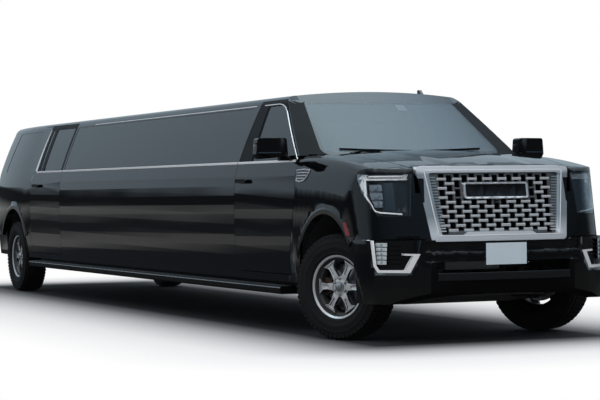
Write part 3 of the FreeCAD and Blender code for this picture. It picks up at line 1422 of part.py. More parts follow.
rim = cell("rim_radius")
half_rim = cell("rim_width") / 2
tyre_half = cell("tyre_width") / 2
RIM_PROFILE = [
    (rim, half_rim), (rim - 16, half_rim - 12), (rim - 18, half_rim - 40), (rim - 40, half_rim - 58),
    (rim - 40, -half_rim + 60), (rim - 18, -half_rim + 40), (rim - 16, -half_rim + 12), (rim, -half_rim),
    (rim - 8, -half_rim), (rim - 26, -half_rim + 12), (rim - 28, -half_rim + 44), (rim - 50, -half_rim + 64),
    (rim - 50, half_rim - 60), (rim - 30, half_rim - 40), (rim - 24, half_rim - 8), (rim - 8, half_rim),
]
HUB_PROFILE = [(0, half_rim - 56), (0, half_rim - 26), (34, half_rim - 26), (38, half_rim - 34),
               (cell("hub_radius"), half_rim - 40), (cell("hub_radius"), half_rim - 62)]
TYRE_PROFILE = [
    (rim - 15.5, half_rim - 12.5), (rim + 1, half_rim + 0.5), (rim + 14, half_rim + 7), (rim + 40, tyre_half - 2),
    (rim + 70, tyre_half), (rim + 105, tyre_half - 5), (cell("tyre_radius") - 22, tyre_half - 14),
    (cell("tyre_radius") - 6, tyre_half - 26), (cell("tyre_radius"), tyre_half - 48),
    (cell("tyre_radius"), -tyre_half + 48), (cell("tyre_radius") - 6, -tyre_half + 26),
    (cell("tyre_radius") - 22, -tyre_half + 14), (rim + 105, -tyre_half + 5), (rim + 70, -tyre_half),
    (rim + 40, -tyre_half + 2), (rim + 14, -half_rim - 7), (rim + 1, -half_rim - 0.5),
    (rim - 15.5, -half_rim + 12.5), (rim - 17.5, -half_rim + 40), (rim - 17.5, half_rim - 40),
]
SPOKE = [(cell("hub_radius") - 10, -28), (132, -21), (168, -26), (rim - 48, -62), (rim - 47, 62), (168, 26),
         (132, 21), (cell("hub_radius") - 10, 28)]


SPOKE_POCKET = [(104, -9), (134, -11), (170, -15), (rim - 58, -46), (rim - 58, 46), (170, 15), (134, 11), (104, 9)]
HEXAGON = [(1, 0), (0.5, 0.866), (-0.5, 0.866), (-1, 0), (-0.5, -0.866), (0.5, -0.866)]
LUG_HOLE = [(cell("lug_radius") * 0.866 + 11 * x, cell("lug_radius") * 0.5 + 11 * y) for x, y in HEXAGON]


def turned_pattern(body, name, feature, sketch):
    """The feature repeated once for each spoke."""
    pattern = body.newObject("PartDesign::PolarPattern", name)
    pattern.Originals = [feature]
    pattern.Axis = (sketch, ["V_Axis"])
    pattern.Angle = 360
    pattern.setExpression("Occurrences", "Sizes.spoke_count")
    body.Tip = pattern
    return pattern


def alloy_wheel(name):
    """Alloy wheel: barrel, hub and six flared spokes, dished under the rim's outer edge."""
    body = revolved(name, RIM_PROFILE)
    hub_sketch = profile_sketch(body, "XY_Plane", f"{name}_hub", HUB_PROFILE)
    hub = body.newObject("PartDesign::Revolution", f"{name}_hub_turning")
    hub.Profile = hub_sketch
    hub.ReferenceAxis = (hub_sketch, ["V_Axis"])
    hub.Angle = 360
    spoke_sketch = profile_sketch(body, "XZ_Plane", f"{name}_spoke", SPOKE, -(half_rim - 58))
    spoke = body.newObject("PartDesign::Pad", f"{name}_spoke_pad")
    spoke.Profile = spoke_sketch
    spoke.Reversed = True
    spoke.Length = 26
    turned_pattern(body, f"{name}_spokes", spoke, hub_sketch)
    face = -(half_rim - 32)
    for label, outline, depth in (("spoke_pocket", SPOKE_POCKET, cell("spoke_pocket")), ("lug_hole", LUG_HOLE, 12)):
        sketch = profile_sketch(body, "XZ_Plane", f"{name}_{label}", outline, face)
        hole = body.newObject("PartDesign::Pocket", f"{name}_{label}_cut")
        hole.Profile = sketch
        hole.Reversed = True
        hole.Length = Length.of(depth).number
        hole.setExpression("Length", Length.of(depth).text)
        turned_pattern(body, f"{name}_{label}s", hole, hub_sketch)
    return body


wheel_places = []
for end, x, track, turned in (("front", 0, "front_axle_track", True), ("rear", REAR_AXLE, "rear_axle_track", False)):
    for side, sign in (("left", 1), ("right", -1)):
        facing = Rotation() if sign > 0 else Rotation(Vector(0, 0, 1), 180)
        place = Placement(Vector(x, sign * size(track) / 2, size("tyre_radius")), facing)
        if turned:
            place = steered(sign) * place
        wheel_places.append((f"{end}_{side}", Placement(FRAME_SHIFT, Rotation()) * place))

for name, place in wheel_places:
    wheel = alloy_wheel(f"wheel_{name}")
    wheel.Placement = place
    parts.append(wheel)
    tyre = revolved(f"tyre_{name}", TYRE_PROFILE)
    tyre.Placement = place
    parts.append(tyre)
    disc_profile = [(cell("stub_radius") + cell("pin_clearance"), -22), (cell("disc_radius"), -22),
                    (cell("disc_radius"), -22 + cell("disc_thickness")), (76, -22 + cell("disc_thickness")),
                    (74, half_rim - 62.3), (cell("stub_radius") + cell("pin_clearance"), half_rim - 62.3)]
    disc = revolved(f"brake_disc_{name}", disc_profile)
    disc.Placement = place
    parts.append(disc)

print("cabin")


def seat(x, y, width):
    """Cushion and reclined back on a plinth, facing forward."""
    low = size("floor_height") + size("floor_thickness") + FIT
    cushion = side_prism([(x - 20, low), (x + 470, low), (x + 500, low + 350), (x - 20, low + 310)], y - width / 2,
                         y + width / 2, 40)
    back = side_prism([(x - 40, low + 200), (x + 95, low + 290), (x - 40, low + 950), (x - 150, low + 930)],
                      y - width / 2, y + width / 2, 40)
    return cushion.fuse(back).removeSplitter()


front_seats = [seat(-1560, 430, 540), seat(-1560, -430, 540)]
piece("front_seats", Part.makeCompound(front_seats))

cabin_floor_top = floor_top + FIT
bench_front, bench_rear = -2350, -size("rear_door_front") + 80
side_bench = span(bench_rear, bench_front, 420, 920, cabin_floor_top, cabin_floor_top + 380).fuse(
    front_prism([(790, cabin_floor_top + 370), (920, cabin_floor_top + 370), (905, cabin_floor_top + 760),
                 (830, cabin_floor_top + 760)], bench_rear, bench_front))
bench_foot = step_station + FIT
rear_bench = span(bench_foot, bench_foot + 480, -860, 860, cabin_floor_top, cabin_floor_top + 380).fuse(
    side_prism([(bench_foot, cabin_floor_top + 370), (bench_foot + 130, cabin_floor_top + 370),
                (bench_foot + 60, cabin_floor_top + 800), (bench_foot, cabin_floor_top + 800)], -800, 800))
piece("lounge_seats", Part.makeCompound([side_bench, rear_bench]))

bar = span(-6300, -3000, -915, -560, cabin_floor_top, cabin_floor_top + 640)
bar = bar.makeFillet(30, [edge for edge in bar.Edges if edge.BoundBox.XLength > 3000 and edge.BoundBox.ZMin > 900])
piece("bar_cabinet", bar)

partition = section_face(cabin_section(), WALL + 2).extrude(Vector(40, 0, 0))
partition.translate(Vector(-2200, 0, 0))
partition = partition.common(span(-2300, -2100, -1000, 1000, cabin_floor_top, 1860))
partition = partition.cut(span(-2300, -2100, -560, 560, 1180, 1720))
piece("partition", partition)

dash_front = firewall_rear - FIT
dash = side_prism([(dash_front, 780), (dash_front, 1310), (-660, 1352), (-900, 1300), (-960, 1180), (-900, 1120),
                   (-820, 780)], -880, 880, 24)
piece("dashboard", dash)
column = Part.makeCylinder(28, 190, Vector(-930, 430, 1160), Vector(-0.88, 0, 0.47))
wheel_ring = Part.makeTorus(185, 15, Vector(-1110, 430, 1256), Vector(-0.88, 0, 0.47))
spokes = [Part.makeCylinder(12, 180, Vector(-1110, 430, 1256), direction) for direction in
          (Vector(0, 1, 0), Vector(0, -1, 0), Vector(-0.47, 0, -0.88))]
steering = wheel_ring.fuse(spokes + [Part.makeCylinder(55, 40, Vector(-1092, 430, 1246), Vector(-0.88, 0, 0.47))])
piece("steering_wheel", steering.fuse(column.cut(dash)).removeSplitter())

fin = side_prism([(-1380, 1880), (-1530, 1880), (-1520, 1972), (-1490, 1972)], 548, 572)
fin = biggest(fin.cut(cabin_volume(-FIT)))
piece("roof_antenna", fin)

doc.recompute()
broken = [obj.Name for obj in doc.Objects if "Invalid" in obj.State or "Error" in obj.State]
for obj in parts:
    shape = obj.Shape
    box = shape.optimalBoundingBox()
    print(obj.Label, shape.isValid(), len(shape.Solids), round(shape.Volume / 1e6, 2),
          [round(v) for v in (box.XMin, box.XMax, box.YMin, box.YMax, box.ZMin, box.ZMax)])
if broken:
    raise RuntimeError(f"objects that failed: {broken}")
for obj in parts:
    if obj.Shape.isNull() or not obj.Shape.isValid():
        raise RuntimeError(f"{obj.Label} has no valid shape")
os.makedirs("parts", exist_ok=True)
for obj in parts:
    obj.Shape.exportStep(f"parts/{obj.Label}.step")
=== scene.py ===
"""Looks of a black stretch limousine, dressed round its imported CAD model."""

from __future__ import annotations

import json
import logging
import math
from collections.abc import Callable, Iterable, Sequence
from dataclasses import dataclass, field
from enum import Enum

import bmesh
import bpy
from mathutils import Matrix, Vector
from mathutils.bvhtree import BVHTree

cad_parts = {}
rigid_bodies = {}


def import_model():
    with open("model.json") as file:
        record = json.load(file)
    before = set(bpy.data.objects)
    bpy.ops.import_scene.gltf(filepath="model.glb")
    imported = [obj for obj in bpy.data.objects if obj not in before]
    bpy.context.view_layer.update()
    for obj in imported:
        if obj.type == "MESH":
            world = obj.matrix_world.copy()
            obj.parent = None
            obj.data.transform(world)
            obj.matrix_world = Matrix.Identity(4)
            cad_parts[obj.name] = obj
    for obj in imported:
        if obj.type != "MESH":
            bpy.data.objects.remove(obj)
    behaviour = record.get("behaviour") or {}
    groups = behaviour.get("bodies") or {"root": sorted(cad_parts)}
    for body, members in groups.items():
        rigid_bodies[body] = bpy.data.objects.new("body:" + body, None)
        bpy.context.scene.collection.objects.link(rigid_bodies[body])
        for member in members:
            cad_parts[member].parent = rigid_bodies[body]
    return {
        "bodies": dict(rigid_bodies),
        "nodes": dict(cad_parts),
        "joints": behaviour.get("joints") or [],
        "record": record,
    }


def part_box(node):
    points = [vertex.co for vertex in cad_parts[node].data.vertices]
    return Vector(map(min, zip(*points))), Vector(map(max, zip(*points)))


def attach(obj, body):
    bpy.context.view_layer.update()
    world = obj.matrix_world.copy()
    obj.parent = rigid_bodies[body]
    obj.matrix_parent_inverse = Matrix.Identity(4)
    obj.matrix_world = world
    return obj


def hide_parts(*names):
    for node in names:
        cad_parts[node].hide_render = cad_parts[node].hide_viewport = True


log = logging.getLogger("limousine")

Colour = tuple[float, float, float]
Point = tuple[float, float, float]
Pair = tuple[float, float]
SIDES = ((1, "left"), (-1, "right"))
AHEAD = (1.0, 0.0, 0.0)
ASTERN = (-1.0, 0.0, 0.0)


# Shader building


def operator(operation: str) -> Callable[[Signal, Signal | float], Signal]:
    """A method that adds a Math node of the operation."""
    return lambda first, second: first.apply(operation, second)


class Signal:
    """A socket's value in an expression, in which each operator adds a Math node."""

    def __init__(self, shader: Shader, socket: bpy.types.NodeSocket) -> None:
        """Keeps the shader that the expression grows in and the socket it reads."""
        self.shader = shader
        self.socket = socket

    def apply(self, operation: str, *others: Signal | float) -> Signal:
        """Adds one Math node of the operation, with this value first."""
        return self.shader.calculate(operation, self, *others)

    def __rsub__(self, other: float) -> Signal:
        """Difference with a number in front."""
        return self.shader.calculate("SUBTRACT", other, self)

    __add__ = __radd__ = operator("ADD")
    __sub__ = operator("SUBTRACT")
    __mul__ = __rmul__ = operator("MULTIPLY")
    __truediv__ = operator("DIVIDE")
    __gt__ = operator("GREATER_THAN")
    __lt__ = operator("LESS_THAN")

    def clamped(self) -> Signal:
        """The value kept between nought and one."""
        return self.apply("MINIMUM", 1.0).apply("MAXIMUM", 0.0)


class Tree:
    """A node tree under construction."""

    def __init__(self, tree: bpy.types.NodeTree) -> None:
        """Keeps the tree that the nodes go in."""
        self.tree = tree

    def node(self, kind: str, settings: dict | None = None, sockets: dict | None = None) -> bpy.types.Node:
        """Adds one node of any kind.

        Args:
            kind: The node's type.
            settings: Its own settings, which are set first.
            sockets: Values or links of its input sockets, by name or number.

        Returns:
            The node.
        """
        made = self.tree.nodes.new(kind)
        for key, value in (settings or {}).items():
            setattr(made, key, value)
        for key, value in (sockets or {}).items():
            self.feed(made.inputs[key], value)
        return made

    def feed(self, target: bpy.types.NodeSocket, value: object) -> None:
        """Links or sets an input; a colour of three parts is made opaque."""
        source = value.socket if isinstance(value, Signal) else value
        if isinstance(source, bpy.types.NodeSocket):
            self.tree.links.new(source, target)
        elif target.type == "RGBA" and len(source) == 3:
            target.default_value = (*source, 1.0)
        else:
            target.default_value = source


class Shader(Tree):
    """A node tree of a material or of the world, emptied first."""

    def __init__(self, tree: bpy.types.NodeTree) -> None:
        """Empties the tree."""
        tree.nodes.clear()
        super().__init__(tree)

    def ramp(self, level: Signal, stops: Sequence[tuple[float, Colour]]) -> Signal:
        """The colour of a level between stops."""
        made = self.node("ShaderNodeValToRGB", None, {"Fac": level})
        elements = made.color_ramp.elements
        while len(elements) > 1:
            elements.remove(elements[-1])
        for index, (position, colour) in enumerate(stops):
            element = elements[0] if index == 0 else elements.new(position)
            element.position = position
            element.color = (*colour, 1.0)
        return Signal(self, made.outputs[0])

    def rays(self, kind: str) -> Signal:
        """One for rays of the kind, such as camera or glossy rays."""
        return Signal(self, self.node("ShaderNodeLightPath").outputs[f"Is {kind} Ray"])

    def seen(self) -> Signal:
        """One for rays that show the background itself, straight or through glass."""
        return (self.rays("Camera") + self.rays("Transmission")).clamped()

    def fresnel(self, ior: float) -> Signal:
        """Share of light that a clear surface throws back."""
        return Signal(self, self.node("ShaderNodeFresnel", None, {"IOR": ior}).outputs[0])

    def calculate(self, operation: str, *values: Signal | float) -> Signal:
        """Adds a Math node over the values, in their order."""
        made = self.node("ShaderNodeMath", {"operation": operation}, dict(enumerate(values)))
        return Signal(self, made.outputs[0])

    def place(self) -> bpy.types.NodeSocket:
        """Object coordinates, which are the row frame's metres."""
        return self.node("ShaderNodeTexCoord").outputs["Object"]

    def axes(self) -> tuple[Signal, Signal, Signal]:
        """The three parts of the place."""
        parts = self.node("ShaderNodeSeparateXYZ", None, {0: self.place()})
        return tuple(Signal(self, parts.outputs[axis]) for axis in range(3))

    def noise(self, scale: float, detail: float = 3.0, stretch: Point = (1, 1, 1)) -> Signal:
        """Noise of a scale per metre, drawn out by the factors of stretch."""
        mapping = self.node("ShaderNodeMapping", {"vector_type": "POINT"},
                            {"Vector": self.place(), "Scale": stretch})
        made = self.node("ShaderNodeTexNoise", None,
                         {"Vector": mapping.outputs[0], "Scale": scale, "Detail": detail})
        return Signal(self, made.outputs["Fac"])

    def cells(self, scale: float) -> Signal:
        """Distance in a field of Voronoi cells."""
        made = self.node("ShaderNodeTexVoronoi", None, {"Vector": self.place(), "Scale": scale})
        return Signal(self, made.outputs["Distance"])

    def blend(self, factor: Signal | float, first: Colour | Signal, second: Colour | Signal) -> Signal:
        """Mixes two colours by a factor."""
        made = self.node("ShaderNodeMix", {"data_type": "RGBA"}, {0: factor, 6: first, 7: second})
        return Signal(self, made.outputs[2])

    def bump(self, height: Signal, strength: float, depth: float) -> Signal:
        """Normal of a surface raised by the height."""
        made = self.node("ShaderNodeBump", None,
                         {"Height": height, "Strength": strength, "Distance": depth})
        return Signal(self, made.outputs[0])


class SurfaceShader(Shader):
    """The tree of a material on a principled surface."""

    def __init__(self, name: str) -> None:
        """Makes the material and its surface node."""
        self.material = bpy.data.materials.new(name)
        self.material.use_nodes = True
        super().__init__(self.material.node_tree)
        self.surface = self.node("ShaderNodeBsdfPrincipled")
        self.output = self.node("ShaderNodeOutputMaterial", None, {"Surface": self.surface.outputs[0]})

    def dress(self, **inputs: object) -> bpy.types.Material:
        """Sets inputs of the surface, whose names have underscores for spaces.

        Returns:
            The finished material.
        """
        for key, value in inputs.items():
            self.feed(self.surface.inputs[key.replace("_", " ")], value)
        return self.material


# Finishes


@dataclass(frozen=True)
class Finish:
    """A finish of the car, named after the record's material slot."""

    name: str
    slot: str

    def build(self) -> bpy.types.Material:
        """Makes the material, once.

        Returns:
            The material of this finish.
        """
        found = bpy.data.materials.get(self.name)
        return found or self.paint(SurfaceShader(self.name))

    def paint(self, shader: SurfaceShader) -> bpy.types.Material:
        """Fills the shader."""
        raise NotImplementedError


@dataclass(frozen=True)
class Lacquer(Finish):
    """Deep lacquered paint: long soft waves in its polish, a haze, and road film near the sills."""

    colour: Colour = (0.0016, 0.0021, 0.0028)
    film: Colour = (0.012, 0.011, 0.010)
    film_top: float = 0.55
    roughness: float = 0.02
    wave: float = 0.0035

    def paint(self, shader: SurfaceShader) -> bpy.types.Material:
        """Paint with a faint film below the film's top."""
        height = shader.axes()[2]
        film = ((self.film_top - height) / 0.3).clamped() * shader.noise(9.0, 4.0, (0.4, 1, 1)) * 0.5
        haze = shader.noise(3.0, 2.0) * 0.02
        waves = shader.noise(1.5, 1.0, (0.45, 1, 1))
        return shader.dress(Base_Color=shader.blend(film, self.colour, self.film),
                            Roughness=film * 0.3 + haze + self.roughness,
                            Normal=shader.bump(waves, 1.0, self.wave), IOR=1.5)


@dataclass(frozen=True)
class Bright(Finish):
    """Chrome plate with a faint unevenness in its polish."""

    colour: Colour = (0.78, 0.80, 0.83)
    roughness: float = 0.06
    metallic: float = 0.9

    def paint(self, shader: SurfaceShader) -> bpy.types.Material:
        """Metal whose polish varies a little."""
        polish = shader.noise(14.0, 3.0)
        worn = tuple(0.8 * part for part in self.colour)
        return shader.dress(Base_Color=shader.blend(polish * 0.5, self.colour, worn),
                            Metallic=self.metallic, Roughness=polish * 0.06 + self.roughness)


@dataclass(frozen=True)
class PaintedLightChrome(Bright):
    """Chrome of the grille's surround, painted darker on its posts than on its bars above and below: painted
    reflection on the bars, painted shade on the posts.
    """

    # Painted shade of the posts, against the painted reflection in the bars' colour.
    middle: Colour = (0.36, 0.41, 0.44)
    top: float = 1.235
    foot: float = 0.93

    def paint(self, shader: SurfaceShader) -> bpy.types.Material:
        """Metal graded by height: painted reflection above and below, painted shade between."""
        height = shader.axes()[2]
        polish = shader.noise(14.0, 3.0)
        upper = ((height - self.top) / 0.03).clamped()
        lower = ((self.foot - height) / 0.13).clamped()
        return shader.dress(Base_Color=shader.blend((upper + lower).clamped(), self.middle, self.colour),
                            Metallic=self.metallic, Roughness=polish * 0.06 + self.roughness)


@dataclass(frozen=True)
class Moulded(Finish):
    """Moulded plastic or rubber with a fine grain."""

    colour: Colour = (0.012, 0.012, 0.013)
    dust: Colour = (0.05, 0.047, 0.043)
    grain: float = 900.0
    depth: float = 0.0002
    roughness: float = 0.5
    specular: float = 0.35

    def paint(self, shader: SurfaceShader) -> bpy.types.Material:
        """Grained surface with a little dust in its hollows."""
        grain = shader.noise(self.grain, 2.0)
        cloud = shader.noise(7.0, 4.0)
        return shader.dress(Base_Color=shader.blend(cloud * 0.25, self.colour, self.dust),
                            Roughness=cloud * 0.15 + self.roughness, Specular_IOR_Level=self.specular,
                            Normal=shader.bump(grain, 0.4, self.depth))


@dataclass(frozen=True)
class Tinted(Finish):
    """Tinted glass that lets a little through, with a printed border where it has one."""

    colour: Colour = (0.010, 0.013, 0.016)
    cover: float = 0.90
    foot: float = 0.0
    head: float = 9.0
    foot_half_width: float = 9.0
    head_half_width: float = 9.0

    def paint(self, shader: SurfaceShader) -> bpy.types.Material:
        """Smooth glass, opaque and black in its border."""
        _, across, height = shader.axes()
        film = shader.noise(2.2, 3.0) * 0.02
        rise = (height - self.foot) / (self.head - self.foot)
        edge = rise * (self.head_half_width - self.foot_half_width) + self.foot_half_width
        border = (across.apply("ABSOLUTE") > edge) + (height > self.head) + (height < self.foot)
        border = border.clamped()
        glass = shader.blend(film * 6.0, self.colour, tuple(1.6 * part for part in self.colour))
        return shader.dress(Base_Color=shader.blend(border, glass, (0.003, 0.003, 0.003)),
                            Roughness=film + 0.01, Alpha=(border + self.cover).clamped(), IOR=1.5)


@dataclass(frozen=True)
class Cover(Finish):
    """Clear moulded cover: it mirrors at its edges and lets the rest through."""

    tint: Colour = (0.80, 0.86, 0.90)

    def paint(self, shader: SurfaceShader) -> bpy.types.Material:
        """A thin mirror whose share grows towards its edges."""
        haze = shader.noise(6.0, 2.0) * 0.02
        return shader.dress(Base_Color=shader.blend(haze * 4.0, self.tint, (0.6, 0.66, 0.7)), Metallic=1.0,
                            Roughness=haze + 0.01, Alpha=(shader.fresnel(1.35) * 0.8 + 0.02).clamped())


@dataclass(frozen=True)
class Metal(Finish):
    """Bare, brushed or cast metal with stains."""

    colour: Colour = (0.45, 0.46, 0.48)
    stain: Colour = (0.12, 0.10, 0.08)
    stained: float = 0.3
    roughness: float = 0.35
    grain: float = 160.0
    stretch: Point = (1, 1, 1)
    metallic: float = 1.0

    def paint(self, shader: SurfaceShader) -> bpy.types.Material:
        """Grained metal, stained in clouds."""
        cloud = shader.noise(11.0, 5.0)
        grain = shader.noise(self.grain, 2.0, self.stretch)
        spots = ((cloud - 0.45) * 3.0).clamped() * self.stained
        return shader.dress(Base_Color=shader.blend(spots, self.colour, self.stain),
                            Metallic=self.metallic - spots * 0.6 * self.metallic,
                            Roughness=grain * 0.12 + spots * 0.3 + self.roughness,
                            Normal=shader.bump(grain, 0.25, 0.0003))


@dataclass(frozen=True)
class Tread(Finish):
    """Tyre rubber, dusty on its shoulders."""

    colour: Colour = (0.0045, 0.0045, 0.005)
    dust: Colour = (0.020, 0.019, 0.0175)

    def paint(self, shader: SurfaceShader) -> bpy.types.Material:
        """Matt rubber with fine pores."""
        cloud = shader.noise(12.0, 4.0)
        pores = shader.noise(700.0, 2.0)
        return shader.dress(Base_Color=shader.blend(cloud * 0.35, self.colour, self.dust),
                            Roughness=cloud * 0.2 + 0.58, Specular_IOR_Level=0.2,
                            Normal=shader.bump(pores, 0.3, 0.0003))


@dataclass(frozen=True)
class Hide(Finish):
    """Seat leather with its grain and worn crowns."""

    colour: Colour = (0.020, 0.019, 0.019)
    worn: Colour = (0.05, 0.047, 0.045)

    def paint(self, shader: SurfaceShader) -> bpy.types.Material:
        """Leather of small cells with broad creases."""
        cells = shader.cells(420.0)
        crease = shader.noise(26.0, 4.0)
        return shader.dress(Base_Color=shader.blend(crease * 0.4, self.colour, self.worn),
                            Roughness=crease * 0.18 + 0.38,
                            Normal=shader.bump(cells + crease * 0.6, 0.35, 0.0006))


@dataclass(frozen=True)
class Pile(Finish):
    """Carpet pile."""

    colour: Colour = (0.022, 0.022, 0.024)

    def paint(self, shader: SurfaceShader) -> bpy.types.Material:
        """Rough tufts of two tones."""
        tufts = shader.noise(260.0, 3.0)
        return shader.dress(Base_Color=shader.blend(tufts, self.colour, (0.05, 0.05, 0.052)),
                            Roughness=0.95, Normal=shader.bump(tufts, 0.8, 0.003))


@dataclass(frozen=True)
class Veneer(Finish):
    """Polished dark wood of the bar cabinet."""

    colour: Colour = (0.055, 0.022, 0.010)

    def paint(self, shader: SurfaceShader) -> bpy.types.Material:
        """Wood whose grain runs along the car."""
        figure = shader.noise(6.0, 6.0, (0.35, 6, 9))
        return shader.dress(Base_Color=shader.blend(figure, self.colour, (0.16, 0.075, 0.035)),
                            Roughness=figure * 0.1 + 0.16, IOR=1.5)


@dataclass(frozen=True)
class Plate(Finish):
    """Blank pale plate, a little greyer towards its foot."""

    colour: Colour = (0.50, 0.58, 0.63)

    def paint(self, shader: SurfaceShader) -> bpy.types.Material:
        """Pale sheet with faint road film."""
        film = shader.noise(8.0, 4.0) * 0.35
        return shader.dress(Base_Color=shader.blend(film, self.colour, (0.36, 0.42, 0.46)),
                            Roughness=film * 0.3 + 0.3)


@dataclass(frozen=True)
class Glow(Finish):
    """A lens of a lamp; only the light guides give off a little light of their own."""

    colour: Colour = (0.80, 0.84, 0.88)
    ribs: float = 60.0
    roughness: float = 0.08
    emission: float = 0.0

    def paint(self, shader: SurfaceShader) -> bpy.types.Material:
        """Smooth lens with fine ribs."""
        grain = shader.noise(40.0, 2.0) * 0.08
        height = shader.noise(self.ribs, 1.0)
        shade = tuple(0.6 * part for part in self.colour)
        return shader.dress(Base_Color=shader.blend(grain * 3.0, self.colour, shade),
                            Roughness=grain + self.roughness, Emission_Color=self.colour,
                            Emission_Strength=self.emission, Normal=shader.bump(height, 0.15, 0.001))


class Kit(Enum):
    """The finishes of the car."""

    PAINT = Lacquer("black_lacquer", "paint_black")
    GLOSS = Lacquer("gloss_black_trim", "gloss_black", colour=(0.002, 0.002, 0.0025), film=(0.01, 0.01, 0.01),
                    film_top=0.4, roughness=0.04, wave=0.001)
    GRAINED = Moulded("grained_black", "plastic_black")
    SATIN = Moulded("satin_black", "plastic_black", (0.0025, 0.0025, 0.003), (0.008, 0.008, 0.008),
                    grain=400.0, depth=0.0001, roughness=0.34, specular=0.06)
    SIDE_GLASS = Tinted("tinted_glass", "glass_dark")
    # The windscreen's blue-grey colour is a painted reflection of the sky.
    SCREEN = Tinted("screen_glass", "glass_screen", colour=(0.10, 0.145, 0.175), cover=0.62, foot=1.43,
                    head=1.840, foot_half_width=0.768, head_half_width=0.668)
    # Most chrome below is only partly metallic, so its pale colours also show as diffuse brightness: a
    # painted reflection.
    CHROME = Bright("chrome_plate", "chrome", metallic=0.72)
    LINE = Bright("chrome_line", "chrome", (0.86, 0.88, 0.90), roughness=0.10, metallic=0.35)
    # The surround's bars are painted bright and its posts dark: painted reflection and painted shade.
    SURROUND = PaintedLightChrome("surround_chrome", "chrome", (0.97, 0.98, 1.0), roughness=0.08, metallic=0.62)
    SATIN_CHROME = Bright("satin_chrome", "chrome", (0.50, 0.52, 0.54), roughness=0.24)
    LIP = Bright("lip_chrome", "chrome", (0.66, 0.69, 0.72), roughness=0.10, metallic=0.55)
    # The mesh's dark chrome is painted shade between the bright lips.
    MESH = Bright("mesh_chrome", "chrome", (0.15, 0.16, 0.17), roughness=0.16, metallic=0.6)
    DARK_CHROME = Bright("dark_chrome", "chrome", (0.055, 0.058, 0.062), roughness=0.2)
    CLEAR = Cover("clear_cover", "lamp_clear")
    GUIDE = Glow("light_guide", "lamp_clear", (0.80, 0.84, 0.87), emission=0.12)
    CELL = Glow("lamp_cell", "lamp_clear", (0.38, 0.42, 0.44), ribs=160.0, roughness=0.1)
    MODULE = Glow("lamp_module", "lamp_clear", (0.16, 0.20, 0.24), ribs=110.0, roughness=0.05)
    REFLECTOR = Glow("lamp_reflector", "lamp_clear", (0.018, 0.030, 0.042), ribs=70.0, roughness=0.12)
    SIDE_LENS = Glow("side_lens", "lamp_clear", (0.17, 0.22, 0.27), ribs=140.0, roughness=0.1)
    RED = Glow("red_lens", "lamp_red", (0.22, 0.006, 0.010), ribs=90.0, roughness=0.06)
    RED_DARK = Glow("red_reflector", "lamp_red", (0.13, 0.006, 0.010), ribs=260.0, roughness=0.14)
    PLATE = Plate("blank_plate", "plate_pale")
    CHASSIS = Metal("chassis_paint", "frame_black", (0.018, 0.018, 0.019), (0.06, 0.045, 0.032), stained=0.5,
                    roughness=0.45, grain=120.0, metallic=0.0)
    CAST = Metal("cast_aluminium", "cast_aluminium", (0.42, 0.43, 0.44), (0.14, 0.12, 0.10), stained=0.45,
                 roughness=0.45, grain=240.0)
    IRON = Metal("cast_iron", "iron", (0.10, 0.085, 0.075), (0.16, 0.07, 0.03), stained=0.7, roughness=0.6,
                 grain=260.0)
    STEEL = Metal("brushed_steel", "steel_brushed", (0.42, 0.43, 0.45), (0.20, 0.16, 0.12), stained=0.25,
                  roughness=0.3, grain=220.0, stretch=(0.05, 1, 1))
    ALLOY = Metal("machined_alloy", "alloy", (0.56, 0.57, 0.58), (0.40, 0.38, 0.36), stained=0.10,
                  roughness=0.28, grain=420.0, metallic=0.5)
    POCKET = Metal("painted_alloy", "alloy", (0.06, 0.061, 0.064), (0.05, 0.045, 0.04), stained=0.3,
                   roughness=0.4, grain=300.0, metallic=0.4)
    # The barrel's near black is painted shade inside the wheel.
    BARREL = Metal("barrel_alloy", "alloy", (0.012, 0.012, 0.013), (0.03, 0.027, 0.024), stained=0.4,
                   roughness=0.5, grain=300.0, metallic=0.4)
    TYRE = Tread("tyre_rubber", "tyre")
    LEATHER = Hide("seat_leather", "seat_leather")
    CARPET = Pile("cabin_carpet", "carpet")
    WOOD = Veneer("bar_veneer", "cabinet_wood")

    def material(self) -> bpy.types.Material:
        """The finish's material."""
        return self.value.build()


# Geometry Nodes


def added(name: str, data: bpy.types.ID) -> bpy.types.Object:
    """A new object of the data, in the scene."""
    made = bpy.data.objects.new(name, data)
    bpy.context.scene.collection.objects.link(made)
    return made


def baked(piece: bpy.types.Object) -> bpy.types.Mesh:
    """A plain mesh of a piece as its modifiers leave it."""
    graph = bpy.context.evaluated_depsgraph_get()
    return bpy.data.meshes.new_from_object(piece.evaluated_get(graph), preserve_all_data_layers=True,
                                           depsgraph=graph)


def path(points: Iterable[Vector], closed: bool = False) -> bpy.types.Mesh:
    """A line of edges through the points."""
    places = [tuple(point) for point in points]
    edges = [(index, index + 1) for index in range(len(places) - 1)]
    if closed:
        edges.append((len(places) - 1, 0))
    mesh = bpy.data.meshes.new("path")
    mesh.from_pydata(places, edges, [])
    return mesh


